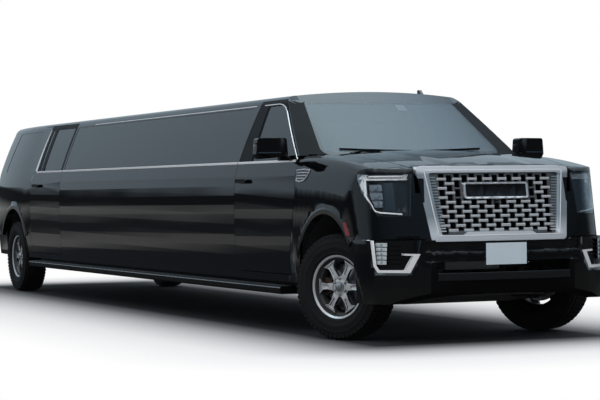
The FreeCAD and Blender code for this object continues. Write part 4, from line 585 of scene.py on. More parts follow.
class Growth(Tree):
    """A Geometry Nodes tree with named inputs that grows a carrier mesh into a plain mesh."""

    def __init__(self, name: str, inputs: dict[str, str]) -> None:
        """Makes the tree with its inputs.

        Args:
            name: The tree's name.
            inputs: The kind of each named input.
        """
        super().__init__(bpy.data.node_groups.new(name, "GeometryNodeTree"))
        interface = self.tree.interface
        for way in ("INPUT", "OUTPUT"):
            interface.new_socket("Geometry", in_out=way, socket_type="NodeSocketGeometry")
        self.keys = {}
        for label, kind in (inputs | {"Finish": "Material"}).items():
            socket = interface.new_socket(label, in_out="INPUT", socket_type=f"NodeSocket{kind}")
            self.keys[label] = socket.identifier
        self.start = self.tree.nodes.new("NodeGroupInput").outputs
        self.end = self.tree.nodes.new("NodeGroupOutput")

    def place_unit(self, points: bpy.types.NodeSocket, ahead: bpy.types.NodeSocket) -> bpy.types.NodeSocket:
        """Puts the input Unit on points, its X ahead and its Z up.

        Args:
            points: Where the copies go.
            ahead: Direction of each copy's X.

        Returns:
            The copies.
        """
        unit = self.node("GeometryNodeObjectInfo", None, {"Object": self.start["Unit"]})
        turn = self.node("FunctionNodeAxesToRotation", {"primary_axis": "X", "secondary_axis": "Z"},
                         {"Primary Axis": ahead, "Secondary Axis": (0.0, 0.0, 1.0)})
        placed = self.node("GeometryNodeInstanceOnPoints", None,
                           {"Points": points, "Instance": unit.outputs["Geometry"],
                            "Rotation": turn.outputs[0]})
        return placed.outputs[0]

    def finish(self, geometry: bpy.types.NodeSocket) -> None:
        """Ends the tree with plain geometry in its finish."""
        real = self.node("GeometryNodeRealizeInstances", None, {"Geometry": geometry})
        dressed = self.node("GeometryNodeSetMaterial", None,
                            {"Geometry": real.outputs[0], "Material": self.start["Finish"]})
        self.tree.links.new(dressed.outputs[0], self.end.inputs[0])

    def grow(self, carrier: bpy.types.Mesh, finish: Kit, **values: object) -> bpy.types.Mesh:
        """Runs the tree on a carrier.

        Args:
            carrier: The mesh that the tree starts from.
            finish: The finish of what grows.
            values: The named inputs.

        Returns:
            The grown mesh.
        """
        piece = added("carrier", carrier)
        modifier = piece.modifiers.new("growth", "NODES")
        modifier.node_group = self.tree
        for label, value in (values | {"Finish": finish.material()}).items():
            modifier[self.keys[label]] = value
        mesh = baked(piece)
        bpy.data.objects.remove(piece)
        return mesh


class Workshop:
    """The trees that the car's trim is made with: mouldings, rows and rings."""

    def __init__(self) -> None:
        """Builds the three trees."""
        self.mouldings = self.moulding_tree()
        self.rows = self.row_tree()
        self.rings = self.ring_tree()

    def moulding_tree(self) -> Growth:
        """A bar with rounded edges along a path; Depth is level, Height stands on it.

        Returns:
            The tree.
        """
        tree = Growth("moulding", {"Depth": "Float", "Height": "Float", "Corner": "Float"})
        line = tree.node("GeometryNodeMeshToCurve", None, {"Mesh": tree.start["Geometry"]})
        upright = tree.node("GeometryNodeSetCurveNormal", {"mode": "Z_UP"}, {"Curve": line.outputs[0]})
        section = tree.node("GeometryNodeCurvePrimitiveQuadrilateral", None,
                            {"Width": tree.start["Depth"], "Height": tree.start["Height"]})
        rounded = tree.node("GeometryNodeFilletCurve", {"mode": "POLY"},
                            {"Curve": section.outputs[0], "Count": 2, "Radius": tree.start["Corner"],
                             "Limit Radius": True})
        swept = tree.node("GeometryNodeCurveToMesh", None,
                          {"Curve": upright.outputs[0], "Profile Curve": rounded.outputs[0],
                           "Fill Caps": True})
        tree.finish(swept.outputs[0])
        return tree

    def row_tree(self) -> Growth:
        """A unit repeated along a path, its X along the path and its Z up.

        Returns:
            The tree.
        """
        tree = Growth("row", {"Unit": "Object", "Count": "Int"})
        line = tree.node("GeometryNodeMeshToCurve", None, {"Mesh": tree.start["Geometry"]})
        points = tree.node("GeometryNodeCurveToPoints", {"mode": "COUNT"},
                           {"Curve": line.outputs[0], "Count": tree.start["Count"]})
        tree.finish(tree.place_unit(points.outputs["Points"], points.outputs["Tangent"]))
        return tree

    def ring_tree(self) -> Growth:
        """A unit repeated round the Z axis, its X outward.

        Returns:
            The tree.
        """
        tree = Growth("ring", {"Unit": "Object", "Count": "Int", "Radius": "Float", "Phase": "Vector"})
        circle = tree.node("GeometryNodeMeshCircle", None,
                           {"Vertices": tree.start["Count"], "Radius": tree.start["Radius"]})
        outward = tree.node("GeometryNodeInputPosition")
        moved_on = tree.node("GeometryNodeTransform", None,
                             {"Geometry": tree.place_unit(circle.outputs[0], outward.outputs[0]),
                              "Rotation": tree.start["Phase"]})
        tree.finish(moved_on.outputs[0])
        return tree

    def moulding(self, points: Iterable[Vector], finish: Kit, depth: float, height: float,
                 corner: float = 0.002, closed: bool = False) -> bpy.types.Mesh:
        """A bar along the points.

        Args:
            points: The bar's path.
            finish: Its finish.
            depth: Its size across the path, level.
            height: Its size across the path, upwards.
            corner: Radius of its edges.
            closed: Whether the path returns to its start.

        Returns:
            The bar's mesh.
        """
        return self.mouldings.grow(path(points, closed), finish, Depth=depth, Height=height, Corner=corner)

    def row(self, points: Iterable[Vector], unit: bpy.types.Mesh, count: int, finish: Kit) -> bpy.types.Mesh:
        """Copies of a unit along the points, evenly spaced."""
        return self.repeat(self.rows, path(points), unit, finish, Count=count)

    def ring(self, unit: bpy.types.Mesh, count: int, radius: float, finish: Kit,
             phase: float = 0.0) -> bpy.types.Mesh:
        """Copies of a unit round the Z axis; the phase is in degrees."""
        return self.repeat(self.rings, bpy.data.meshes.new("empty"), unit, finish, Count=count, Radius=radius,
                           Phase=(0.0, 0.0, math.radians(phase)))

    def repeat(self, tree: Growth, carrier: bpy.types.Mesh, unit: bpy.types.Mesh, finish: Kit,
               **values: object) -> bpy.types.Mesh:
        """Runs a tree that repeats a unit.

        Args:
            tree: The tree.
            carrier: The mesh that it starts from.
            unit: What it repeats.
            finish: The finish of the copies.
            values: The tree's other inputs.

        Returns:
            The copies as one mesh.
        """
        template = added("unit", unit)
        mesh = tree.grow(carrier, finish, Unit=template, **values)
        bpy.data.objects.remove(template)
        return mesh


# Meshes


def freed(work: bmesh.types.BMesh, mesh: bpy.types.Mesh) -> bpy.types.Mesh:
    """Writes bmesh work into a mesh and frees it."""
    work.to_mesh(mesh)
    work.free()
    return mesh


def merged(meshes: Iterable[bpy.types.Mesh], name: str) -> bpy.types.Mesh:
    """Joins meshes and keeps their finishes.

    Args:
        meshes: The meshes.
        name: The name of the result.

    Returns:
        One mesh.
    """
    out = bmesh.new()
    materials: list[bpy.types.Material] = []
    for mesh in meshes:
        first = len(out.faces)
        slots = []
        for material in mesh.materials:
            if material not in materials:
                materials.append(material)
            slots.append(materials.index(material))
        out.from_mesh(mesh)
        out.faces.ensure_lookup_table()
        for face in out.faces[first:]:
            face.material_index = slots[min(face.material_index, len(slots) - 1)] if slots else 0
    result = freed(out, bpy.data.meshes.new(name))
    for material in materials:
        result.materials.append(material)
    return result


def moved(mesh: bpy.types.Mesh, matrix: Matrix) -> bpy.types.Mesh:
    """A copy of a mesh, taken through a matrix."""
    copy = mesh.copy()
    copy.transform(matrix)
    return copy


def chamfered(size: Point, bevel: float, taper: float = 1.0) -> bpy.types.Mesh:
    """A block about the origin with bevelled edges, its top narrowed by the taper.

    Args:
        size: Its three sides.
        bevel: Width of the bevel.
        taper: Share of the foot's size that the top keeps.

    Returns:
        The block's mesh.
    """
    work = bmesh.new()
    bmesh.ops.create_cube(work, size=1.0)
    for vertex in work.verts:
        x, y, z = vertex.co
        share = taper if z > 0 else 1.0
        vertex.co = (x * size[0] * share, y * size[1] * share, z * size[2])
    bmesh.ops.bevel(work, geom=work.edges[:], offset=bevel, segments=1, affect="EDGES")
    return freed(work, bpy.data.meshes.new("block"))


def shell(points: Iterable[Sequence[float]], faces: Sequence[tuple[int, ...]],
          weld: bool = False) -> bpy.types.Mesh:
    """A closed mesh with its faces outward.

    Args:
        points: Its points.
        faces: Numbers of each face's points.
        weld: Whether points in one place are joined and holes filled.

    Returns:
        The mesh.
    """
    mesh = bpy.data.meshes.new("shell")
    mesh.from_pydata([tuple(point) for point in points], [], faces)
    work = bmesh.new()
    work.from_mesh(mesh)
    if weld:
        bmesh.ops.remove_doubles(work, verts=work.verts, dist=1e-5)
        bmesh.ops.holes_fill(work, edges=work.edges, sides=0)
    bmesh.ops.recalc_face_normals(work, faces=work.faces)
    return freed(work, mesh)


def turned(profile: Sequence[Pair], steps: int, closed: bool = True) -> bpy.types.Mesh:
    """A profile of radius and height turned round the Z axis.

    Args:
        profile: Its points, as radius and height.
        steps: Faces round the axis.
        closed: Whether the profile is a loop.

    Returns:
        The turned mesh.
    """
    count = len(profile)
    points = []
    for step in range(steps):
        angle = math.tau * step / steps
        points += [(r * math.cos(angle), r * math.sin(angle), z) for r, z in profile]
    faces = []
    for step in range(steps):
        here, there = step * count, (step + 1) % steps * count
        for index in range(count if closed else count - 1):
            after = (index + 1) % count
            faces.append((here + index, there + index, there + after, here + after))
    return shell(points, faces, weld=True)


def slab(front: Sequence[Sequence[Vector]], thickness: float, away: Point) -> bpy.types.Mesh:
    """A closed plate over a grid of points.

    Args:
        front: Rows of points of its outer face.
        thickness: Its thickness.
        away: Direction from the outer face to the inner one.

    Returns:
        The plate's mesh.
    """
    rows, columns = len(front), len(front[0])
    outer = [point for row in front for point in row]
    inner = [point + Vector(away) * thickness for point in outer]
    faces = []
    size = rows * columns
    for r in range(rows - 1):
        for c in range(columns - 1):
            a, b = r * columns + c, (r + 1) * columns + c
            faces += [(a, a + 1, b + 1, b), (size + b, size + b + 1, size + a + 1, size + a)]
    rim = [c for c in range(columns)] + [r * columns + columns - 1 for r in range(1, rows)]
    rim += [(rows - 1) * columns + c for c in range(columns - 2, -1, -1)]
    rim += [r * columns for r in range(rows - 2, 0, -1)]
    for index, here in enumerate(rim):
        there = rim[(index + 1) % len(rim)]
        faces.append((there, here, size + here, size + there))
    return shell(outer + inner, faces)


def spread(points: Sequence[Pair], step: float) -> list[Pair]:
    """The points of a line with more between them, a step apart at most."""
    out = [points[0]]
    for (a, b), (c, d) in zip(points, points[1:]):
        count = max(1, math.ceil(math.hypot(c - a, d - b) / step))
        out += [(a + (c - a) * k / count, b + (d - b) * k / count) for k in range(1, count + 1)]
    return out


def eased(points: Sequence[Pair], radius: float, steps: int = 5) -> list[Pair]:
    """The points of a line with its inner corners rounded."""
    out = [Vector(points[0])]
    for last, here, after in zip(points, points[1:], points[2:]):
        corner = Vector(here)
        start = corner + (Vector(last) - corner).normalized() * radius
        end = corner + (Vector(after) - corner).normalized() * radius
        for k in range(steps + 1):
            t = k / steps
            out.append((1 - t) ** 2 * start + 2 * t * (1 - t) * corner + t ** 2 * end)
    out.append(Vector(points[-1]))
    return [tuple(point) for point in out]


class Skin:
    """The outer surface of some nodes, on which trim lies."""

    outside: Point = (8.0, 2.0, 4.0)
    nose: float = 5.2
    tail: float = 5.45
    half_width: float = 0.98
    shoulder: float = 0.8

    def __init__(self, frame: dict, *nodes: str) -> None:
        """Gathers the nodes' faces."""
        points: list[Vector] = []
        faces: list[tuple[int, ...]] = []
        for node in nodes:
            mesh = frame["nodes"][node].data
            first = len(points)
            points += [vertex.co.copy() for vertex in mesh.vertices]
            faces += [tuple(first + index for index in polygon.vertices) for polygon in mesh.polygons]
        self.tree = BVHTree.FromPolygons(points, faces)

    def cast(self, start: Point, ahead: Point, reach: float, proud: float) -> Vector:
        """Where a ray from outside meets the surface, moved back by proud.

        Args:
            start: Where the ray starts.
            ahead: Its direction.
            reach: How far on the surface is about; where the ray misses, the nearest point to there counts.
            proud: Distance from the surface back towards the start.

        Returns:
            The point.
        """
        direction = Vector(ahead)
        hit = self.tree.ray_cast(Vector(start), direction)[0]
        if hit is None:
            hit = self.tree.find_nearest(Vector(start) + direction * reach)[0]
        return hit - direction * proud

    def side(self, x: float, z: float, sign: int, proud: float = 0.0) -> Vector:
        """A point of the side."""
        far = self.outside[1]
        return self.cast((x, far * sign, z), (0, -sign, 0), far - self.half_width, proud)

    def front(self, y: float, z: float, proud: float = 0.0) -> Vector:
        """A point of the front."""
        far = self.outside[0]
        return self.cast((far, y, z), (-1, 0, 0), far - self.nose, proud)

    def back(self, y: float, z: float, proud: float = 0.0) -> Vector:
        """A point of the tail."""
        far = self.outside[0]
        return self.cast((-far, y, z), (1, 0, 0), far - self.tail, proud)

    def top(self, x: float, y: float, proud: float = 0.0) -> Vector:
        """A point seen from above."""
        far = self.outside[2]
        return self.cast((x, y, far), (0, 0, -1), far - self.shoulder, proud)

    def strip(self, sign: int, low: Pair, high: Pair, heights: Pair, cells: tuple[int, int], proud: float,
              sunk: float) -> bpy.types.Mesh:
        """A thin plate on the side between two upright edges.

        Args:
            sign: The side.
            low: X of its rear and front edge at its foot.
            high: The same at its head.
            heights: Z of its foot and head.
            cells: Its faces along and up.
            proud: How far it stands out.
            sunk: How far it goes into the surface.

        Returns:
            The plate's mesh.
        """
        along, up = cells
        rows = []
        for step in range(up + 1):
            share = step / up
            z = heights[0] + (heights[1] - heights[0]) * share
            rear = low[0] + (high[0] - low[0]) * share
            front = low[1] + (high[1] - low[1]) * share
            rows.append([self.side(rear + (front - rear) * k / along, z, sign, proud)
                         for k in range(along + 1)])
        return slab(rows, proud + sunk, (0, -sign, 0))


@dataclass
class Model:
    """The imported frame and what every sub-assembly does with it."""

    frame: dict
    shop: Workshop
    body_of: dict[str, str] = field(default_factory=dict)

    def __post_init__(self) -> None:
        """Notes the body of each node."""
        for body, nodes in self.frame["record"]["behaviour"]["bodies"].items():
            for node in nodes:
                self.body_of[node] = body

    def skin(self, *nodes: str) -> Skin:
        """The surface of some nodes."""
        return Skin(self.frame, *nodes)

    def copy(self, node: str) -> bpy.types.Mesh:
        """A merged copy of a node's mesh."""
        mesh = self.frame["nodes"][node].data.copy()
        mesh.materials.clear()
        cleaner = bmesh.new()
        cleaner.from_mesh(mesh)
        bmesh.ops.remove_doubles(cleaner, verts=cleaner.verts, dist=2e-5)
        bmesh.ops.dissolve_degenerate(cleaner, edges=cleaner.edges, dist=1e-6)
        return freed(cleaner, mesh)

    def smooth(self, node: str, finishes: Sequence[Kit], angle: float = 28.0,
               zone: Callable[[Vector, Vector], int] | None = None) -> bpy.types.Object:
        """Replaces a node with its own shape, smoothly shaded.

        Args:
            node: The CAD node.
            finishes: Its finishes.
            angle: Edges sharper than this, in degrees, stay crisp.
            zone: Gives the finish's number from a face's middle and normal.

        Returns:
            The piece.
        """
        mesh = self.copy(node)
        for finish in finishes:
            mesh.materials.append(finish.material())
        if zone:
            for polygon in mesh.polygons:
                polygon.material_index = zone(polygon.center, polygon.normal)
        piece = self.place(mesh, f"{node}_panel", self.body_of[node], finishes[0].value.slot, angle)
        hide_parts(node)
        return piece

    def place(self, mesh: bpy.types.Mesh, name: str, body: str, slot: str,
              angle: float = 35.0) -> bpy.types.Object:
        """Puts a finished mesh in the scene as a piece that rides on a body.

        Args:
            mesh: The mesh, in the row frame.
            name: The piece's name.
            body: The CAD body it rides on.
            slot: The record's slot of its finish; not used.
            angle: Edges sharper than this, in degrees, stay crisp.

        Returns:
            The piece.
        """
        mesh.name = name
        mesh.polygons.foreach_set("use_smooth", [True] * len(mesh.polygons))
        mesh.set_sharp_from_angle(angle=math.radians(angle))
        piece = added(name, mesh)
        weighted = piece.modifiers.new("normals", "WEIGHTED_NORMAL")
        weighted.keep_sharp = True
        self.settle(piece)
        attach(piece, body)
        log.info("%s: %d faces on %s", name, len(piece.data.polygons), body)
        return piece

    def solid(self, mesh: bpy.types.Mesh, name: str, body: str, finish: Kit,
              angle: float = 35.0) -> bpy.types.Object:
        """Places a mesh of one finish."""
        mesh.materials.clear()
        mesh.materials.append(finish.material())
        return self.place(mesh, name, body, finish.value.slot, angle)

    def bar(self, points: Iterable[Vector], name: str, body: str, finish: Kit, size: Pair,
            corner: float = 0.002, closed: bool = False) -> None:
        """Places a moulding along points.

        Args:
            points: Its path.
            name: Its name.
            body: The body it rides on.
            finish: Its finish.
            size: Its depth and height.
            corner: Radius of its edges.
            closed: Whether the path returns to its start.
        """
        mesh = self.shop.moulding(points, finish, *size, corner, closed)
        self.place(mesh, name, body, finish.value.slot)

    def settle(self, piece: bpy.types.Object) -> None:
        """Turns a piece's modifiers into its plain mesh."""
        mesh = baked(piece)
        piece.modifiers.clear()
        piece.data = mesh


# Sub-assemblies


@dataclass
class Bodywork:
    """Painted panels, their handles and mirrors."""

    model: Model
    painted: tuple[str, ...] = ("roof_panel", "bonnet", "front_wings", "body_side_left", "body_side_right")
    frame_foot: float = 1.366
    pillar: Pair = (1.395, 1.85)
    pillar_inner: float = 0.60
    pillar_facing: float = 0.25
    glass_columns: tuple[float, ...] = (1.055, 1.12, 1.19, 1.262)
    glass_rows: tuple[float, ...] = (1.395, 1.455, 1.518)
    signal_columns: tuple[float, ...] = (1.10, 1.15, 1.20, 1.25, 1.275)
    signal_height: float = 1.425

    def build(self) -> None:
        """Dresses the panels."""
        for node in self.painted:
            self.model.smooth(node, [Kit.PAINT, Kit.SATIN], zone=self.pillar_zone)
        for _, side in SIDES:
            for door in ("front_door", "rear_door"):
                self.model.smooth(f"{door}_{side}", [Kit.PAINT, Kit.SATIN], zone=self.door_zone)
        self.model.smooth("cowl_panel", [Kit.GRAINED])
        self.model.smooth("roof_antenna", [Kit.GLOSS])
        for sign, side in SIDES:
            self.mirror(sign, side)

    def pillar_zone(self, middle: Vector, normal: Vector) -> int:
        """The windscreen's pillars are satin black."""
        beside = self.pillar[0] < middle.z < self.pillar[1] and abs(middle.y) > self.pillar_inner
        return int(beside and normal.x > self.pillar_facing)

    def door_zone(self, middle: Vector, normal: Vector) -> int:
        """Window frames are satin black, the skin and its handle are painted."""
        return int(middle.z > self.frame_foot)

    def mirror(self, sign: int, side: str) -> None:
        """Dresses a mirror and gives it its glass and its signal lens."""
        door = f"door_front_{side}"
        self.model.smooth(f"mirror_{side}", [Kit.GLOSS])
        skin = self.model.skin(f"mirror_{side}")
        rows = [[skin.back(sign * y, z, 0.003) for y in self.glass_columns] for z in self.glass_rows]
        self.model.solid(slab(rows, 0.004, AHEAD), f"mirror_glass_{side}", door, Kit.CHROME, 20.0)
        line = [skin.front(sign * y, self.signal_height, 0.001) for y in self.signal_columns]
        self.model.bar(line, f"mirror_signal_{side}", door, Kit.REFLECTOR, (0.006, 0.010))


@dataclass
class Brightwork:
    """Chrome and black trim that follows the sides, all in metres of the row frame."""

    model: Model
    belt: float = 1.361
    belt_size: Pair = (0.009, 0.020)
    head: float = 1.838
    head_size: Pair = (0.009, 0.009)
    lift: float = 0.0015
    corner: float = 0.003
    step: float = 0.08
    front_seam: float = 2.706
    rear_seam: float = -2.368
    gap: float = 0.006
    tight_gap: float = 0.004
    belt_front: float = 3.925
    pillar_foot: Pair = (3.952, 1.372)
    pillar_head: Pair = (3.318, 1.838)
    pillar_radius: float = 0.15
    head_end: float = -1.74
    slash_low: Pair = (-3.392, -3.332)
    slash_high: Pair = (-3.352, -3.318)
    divider: Pair = (-3.178, -3.070)
    post_low: Pair = (2.916, 3.000)
    post_high: Pair = (2.868, 2.975)

    def build(self) -> None:
        """Makes the trim of both sides."""
        for sign, side in SIDES:
            front, rear = f"door_front_{side}", f"door_rear_{side}"
            door = self.model.skin(f"front_door_{side}")
            wall = self.model.skin(f"body_side_{side}", "side_windows")
            back = self.model.skin(f"rear_door_{side}", f"rear_door_glass_{side}")
            for skin, start, end, part, body in (
                    (door, self.belt_front, self.front_seam + self.gap, "front", front),
                    (wall, self.front_seam - self.tight_gap, self.rear_seam + self.gap, "middle", "root"),
                    (back, self.rear_seam - self.gap, self.slash_low[1], "rear", rear)):
                belt = [(start, self.belt), (end, self.belt)]
                self.lay(skin, sign, belt, f"belt_{part}_{side}", body, self.belt_size)
            rise = eased([self.pillar_foot, self.pillar_head, (self.post_high[0] + 0.015, self.head)],
                         self.pillar_radius, 8)
            self.lay(door, sign, rise, f"window_line_front_{side}", front, self.head_size)
            line = [(self.front_seam - self.gap, self.head), (self.head_end, self.head)]
            self.lay(wall, sign, line, f"window_line_middle_{side}", "root", self.head_size)
            for skin, low, high, proud, finish, name, body in (
                    (back, self.slash_low, self.slash_high, 0.006, Kit.LINE, "pillar_slash", rear),
                    (back, self.divider, self.divider, 0.003, Kit.SATIN, "window_divider", rear),
                    (door, self.post_low, self.post_high, 0.003, Kit.SATIN, "pillar_post", front)):
                heights = (self.belt + 0.010, self.head - 0.006)
                blade = skin.strip(sign, low, high, heights, (3, 10), proud, 0.0004)
                self.model.solid(blade, f"{name}_{side}", body, finish)

    def lay(self, skin: Skin, sign: int, line: Sequence[Pair], name: str, body: str, size: Pair) -> None:
        """Lays a chrome bar along a line of the side.

        Args:
            skin: What it lies on.
            sign: The side.
            line: Its X and Z.
            name: Its name.
            body: The body it rides on.
            size: Its depth and height.
        """
        points = [skin.side(x, z, sign, self.lift) for x, z in spread(line, self.step)]
        self.model.bar(points, name, body, Kit.LINE, size, self.corner)


@dataclass
class SideTrim:
    """Wing ornaments, reflectors, running boards and the fuel flap."""

    model: Model
    ornament: tuple[Pair, ...] = (
        (4.002, 1.206), (4.075, 1.197), (4.150, 1.206), (4.206, 1.232), (4.238, 1.272), (4.232, 1.286),
        (4.150, 1.291), (4.002, 1.286))
    fin_start: float = 4.014
    fin_ends: tuple[Pair, ...] = ((4.150, 1.222), (4.190, 1.244), (4.212, 1.266))
    field_starts: Pair = (4.008, 4.08)
    field_ends: tuple[Pair, ...] = ((4.13, 1.208), (4.195, 1.24), (4.22, 1.284))
    reflector_low: Pair = (4.946, 4.988)
    reflector_high: Pair = (4.876, 4.922)
    reflector_heights: Pair = (0.792, 0.890)
    board_ends: Pair = (-3.46, 3.74)
    board_half_width: float = 1.052
    board_top: float = 0.372
    guard: Pair = (0.905, 0.392)
    guard_size: Pair = (0.010, 0.100)
    ribs: int = 5
    rib_start: float = 0.935
    rib_pitch: float = 0.022
    flap: tuple[Pair, ...] = ((-4.86, 1.06), (-4.86, 1.20), (-5.02, 1.20), (-5.02, 1.06))
    flap_radius: float = 0.02

    def build(self) -> None:
        """Makes the trim of both sides."""
        self.model.smooth("running_boards", [Kit.SATIN])
        for sign, side in SIDES:
            self.wing_ornament(sign, side)
            self.reflector(sign, side)
            self.board(sign, side)
        self.fuel_flap()

    def wing_ornament(self, sign: int, side: str) -> None:
        """A bright teardrop frame round three fins on black."""
        skin = self.model.skin("front_wings")
        shop = self.model.shop
        outline = [skin.side(x, z, sign, 0.004) for x, z in self.ornament]
        pieces = [shop.moulding(outline, Kit.CHROME, 0.010, 0.012, 0.003, closed=True)]
        for end, z in self.fin_ends:
            line = [skin.side(x, z, sign, 0.003) for x in (self.fin_start, (self.fin_start + end) / 2, end)]
            pieces.append(shop.moulding(line, Kit.CHROME, 0.006, 0.008))
        rows = [[skin.side(x, z, sign, 0.001) for x in (*self.field_starts, end)]
                for end, z in self.field_ends]
        pieces.append(slab(rows, 0.001, (0, -sign, 0)))
        pieces[-1].materials.append(Kit.GLOSS.material())
        self.model.place(merged(pieces, "ornament"), f"wing_ornament_{side}", "root", "chrome")

    def reflector(self, sign: int, side: str) -> None:
        """The red side reflector on the arch lip."""
        skin = self.model.skin("front_wings", "front_bumper")
        mesh = skin.strip(sign, self.reflector_low, self.reflector_high, self.reflector_heights,
                          (2, 4), 0.004, 0.0005)
        self.model.solid(mesh, f"side_reflector_{side}", "root", Kit.RED_DARK)

    def board(self, sign: int, side: str) -> None:
        """Bright edge strip and grip ribs on a running board, and a guard along the sill behind it."""
        low, high = self.board_ends

        def line(y: float, z: float, inset: float = 0.0) -> list[Vector]:
            """The two ends of a line along the board."""
            return [Vector((x, sign * y, z)) for x in (low + inset, high - inset)]

        edge = line(self.board_half_width + 0.001, self.board_top - 0.012)
        self.model.bar(edge, f"board_strip_{side}", "root", Kit.SATIN_CHROME, (0.005, 0.008))
        self.model.bar(line(*self.guard), f"sill_guard_{side}", "root", Kit.SATIN, self.guard_size, 0.003)
        ribs = []
        for step in range(self.ribs):
            rib = line(self.rib_start + self.rib_pitch * step, self.board_top + 0.0015, 0.03)
            ribs.append(self.model.shop.moulding(rib, Kit.GRAINED, 0.009, 0.005))
        self.model.place(merged(ribs, "ribs"), f"board_ribs_{side}", "root", "plastic_black")

    def fuel_flap(self) -> None:
        """Seam of the fuel flap on the left rear quarter."""
        skin = self.model.skin("body_side_left")
        loop = eased(self.flap + self.flap[:2], self.flap_radius)[1:-1]
        points = [skin.side(x, z, 1) for x, z in loop]
        self.model.bar(points, "fuel_flap_seam", "root", Kit.SATIN, (0.002, 0.004), 0.0008, closed=True)


@dataclass
class Glazing:
    """Windows and windscreen with sensor, tag and wipers."""

    model: Model
    tinted: tuple[str, ...] = (
        "side_windows", "liftgate_glass", "front_door_glass_left", "front_door_glass_right",
        "rear_door_glass_left", "rear_door_glass_right")
    sensor_columns: tuple[float, ...] = (-0.075, 0.0, 0.075)
    sensor_rows: tuple[float, ...] = (1.752, 1.80, 1.838)
    tag_columns: tuple[float, ...] = (0.10, 0.14, 0.18)
    tag_rows: tuple[float, ...] = (1.775, 1.80, 1.825)
    mirror_size: Point = (0.026, 0.25, 0.072)
    mirror_height: float = 1.70
    mirror_behind: float = 0.13
    blades: tuple[tuple[str, float, tuple[Pair, ...]], ...] = (
        ("right", -0.60, ((-0.64, 1.452), (-0.38, 1.440), (-0.06, 1.432))),
        ("left", 0.06, ((0.02, 1.432), (0.32, 1.440), (0.60, 1.452))))
    pivot_x: float = 4.135
    pivot_z: float = 1.409
    pivot_cap: tuple[Pair, ...] = (
        (0.0, 0.012), (0.014, 0.012), (0.017, 0.006), (0.017, -0.012), (0.0, -0.012))

    def build(self) -> None:
        """Dresses the glass."""
        for node in self.tinted:
            self.model.smooth(node, [Kit.SIDE_GLASS])
        self.model.smooth("windscreen", [Kit.SCREEN])
        screen = self.model.skin("windscreen")
        self.behind_screen(screen)
        for side, pivot, blade in self.blades:
            self.wiper(screen, blade, pivot, side)

    def behind_screen(self, screen: Skin) -> None:
        """Sensor box, inner mirror and a bare pale tag behind the top of the glass."""
        rows = [[screen.front(y, z, -0.020) for y in self.sensor_columns] for z in self.sensor_rows]
        self.model.solid(slab(rows, 0.035, ASTERN), "screen_sensor", "root", Kit.SATIN)
        centre = screen.front(0.0, self.mirror_height, -self.mirror_behind)
        mirror = moved(chamfered(self.mirror_size, 0.008), Matrix.Translation(centre))
        self.model.solid(mirror, "inner_mirror", "root", Kit.GRAINED)
        rows = [[screen.front(y, z, -0.012) for y in self.tag_columns] for z in self.tag_rows]
        self.model.solid(slab(rows, 0.0008, ASTERN), "screen_tag", "root", Kit.PLATE)

    def wiper(self, screen: Skin, blade: Sequence[Pair], pivot: float, side: str) -> None:
        """A wiper: blade on the glass, arm from its pivot on the cowl.

        Args:
            screen: The windscreen's surface.
            blade: Y and Z along the blade.
            pivot: Y of the pivot.
            side: Its side.
        """
        shop = self.model.shop
        line = [screen.front(y, z, 0.010) for y, z in spread(blade, 0.06)]
        rubber = shop.moulding(line, Kit.SATIN, 0.016, 0.014, 0.004)
        foot = Vector((self.pivot_x, pivot, self.pivot_z))
        middle = screen.front(*blade[1], 0.022)
        bend = foot.lerp(middle, 0.5) + Vector((0.004, 0, 0.010))
        arm = shop.moulding([foot, bend, middle], Kit.SATIN, 0.012, 0.016, 0.004)
        cap = moved(turned(self.pivot_cap, 20, False), Matrix.Translation(foot))
        cap.materials.append(Kit.SATIN.material())
        self.model.place(merged([rubber, arm, cap], "wiper"), f"wiper_{side}", "root", "plastic_black")


@dataclass(frozen=True)
class Zone:
    """A rectangle of the front view, by distance from the middle and height, whose faces take a finish."""

    finish: int
    sides: Pair
    heights: Pair
    facing: float = -2.0

    def holds(self, y: float, z: float) -> bool:
        """Whether a place lies in the rectangle."""
        return self.sides[0] < y < self.sides[1] and self.heights[0] < z < self.heights[1]


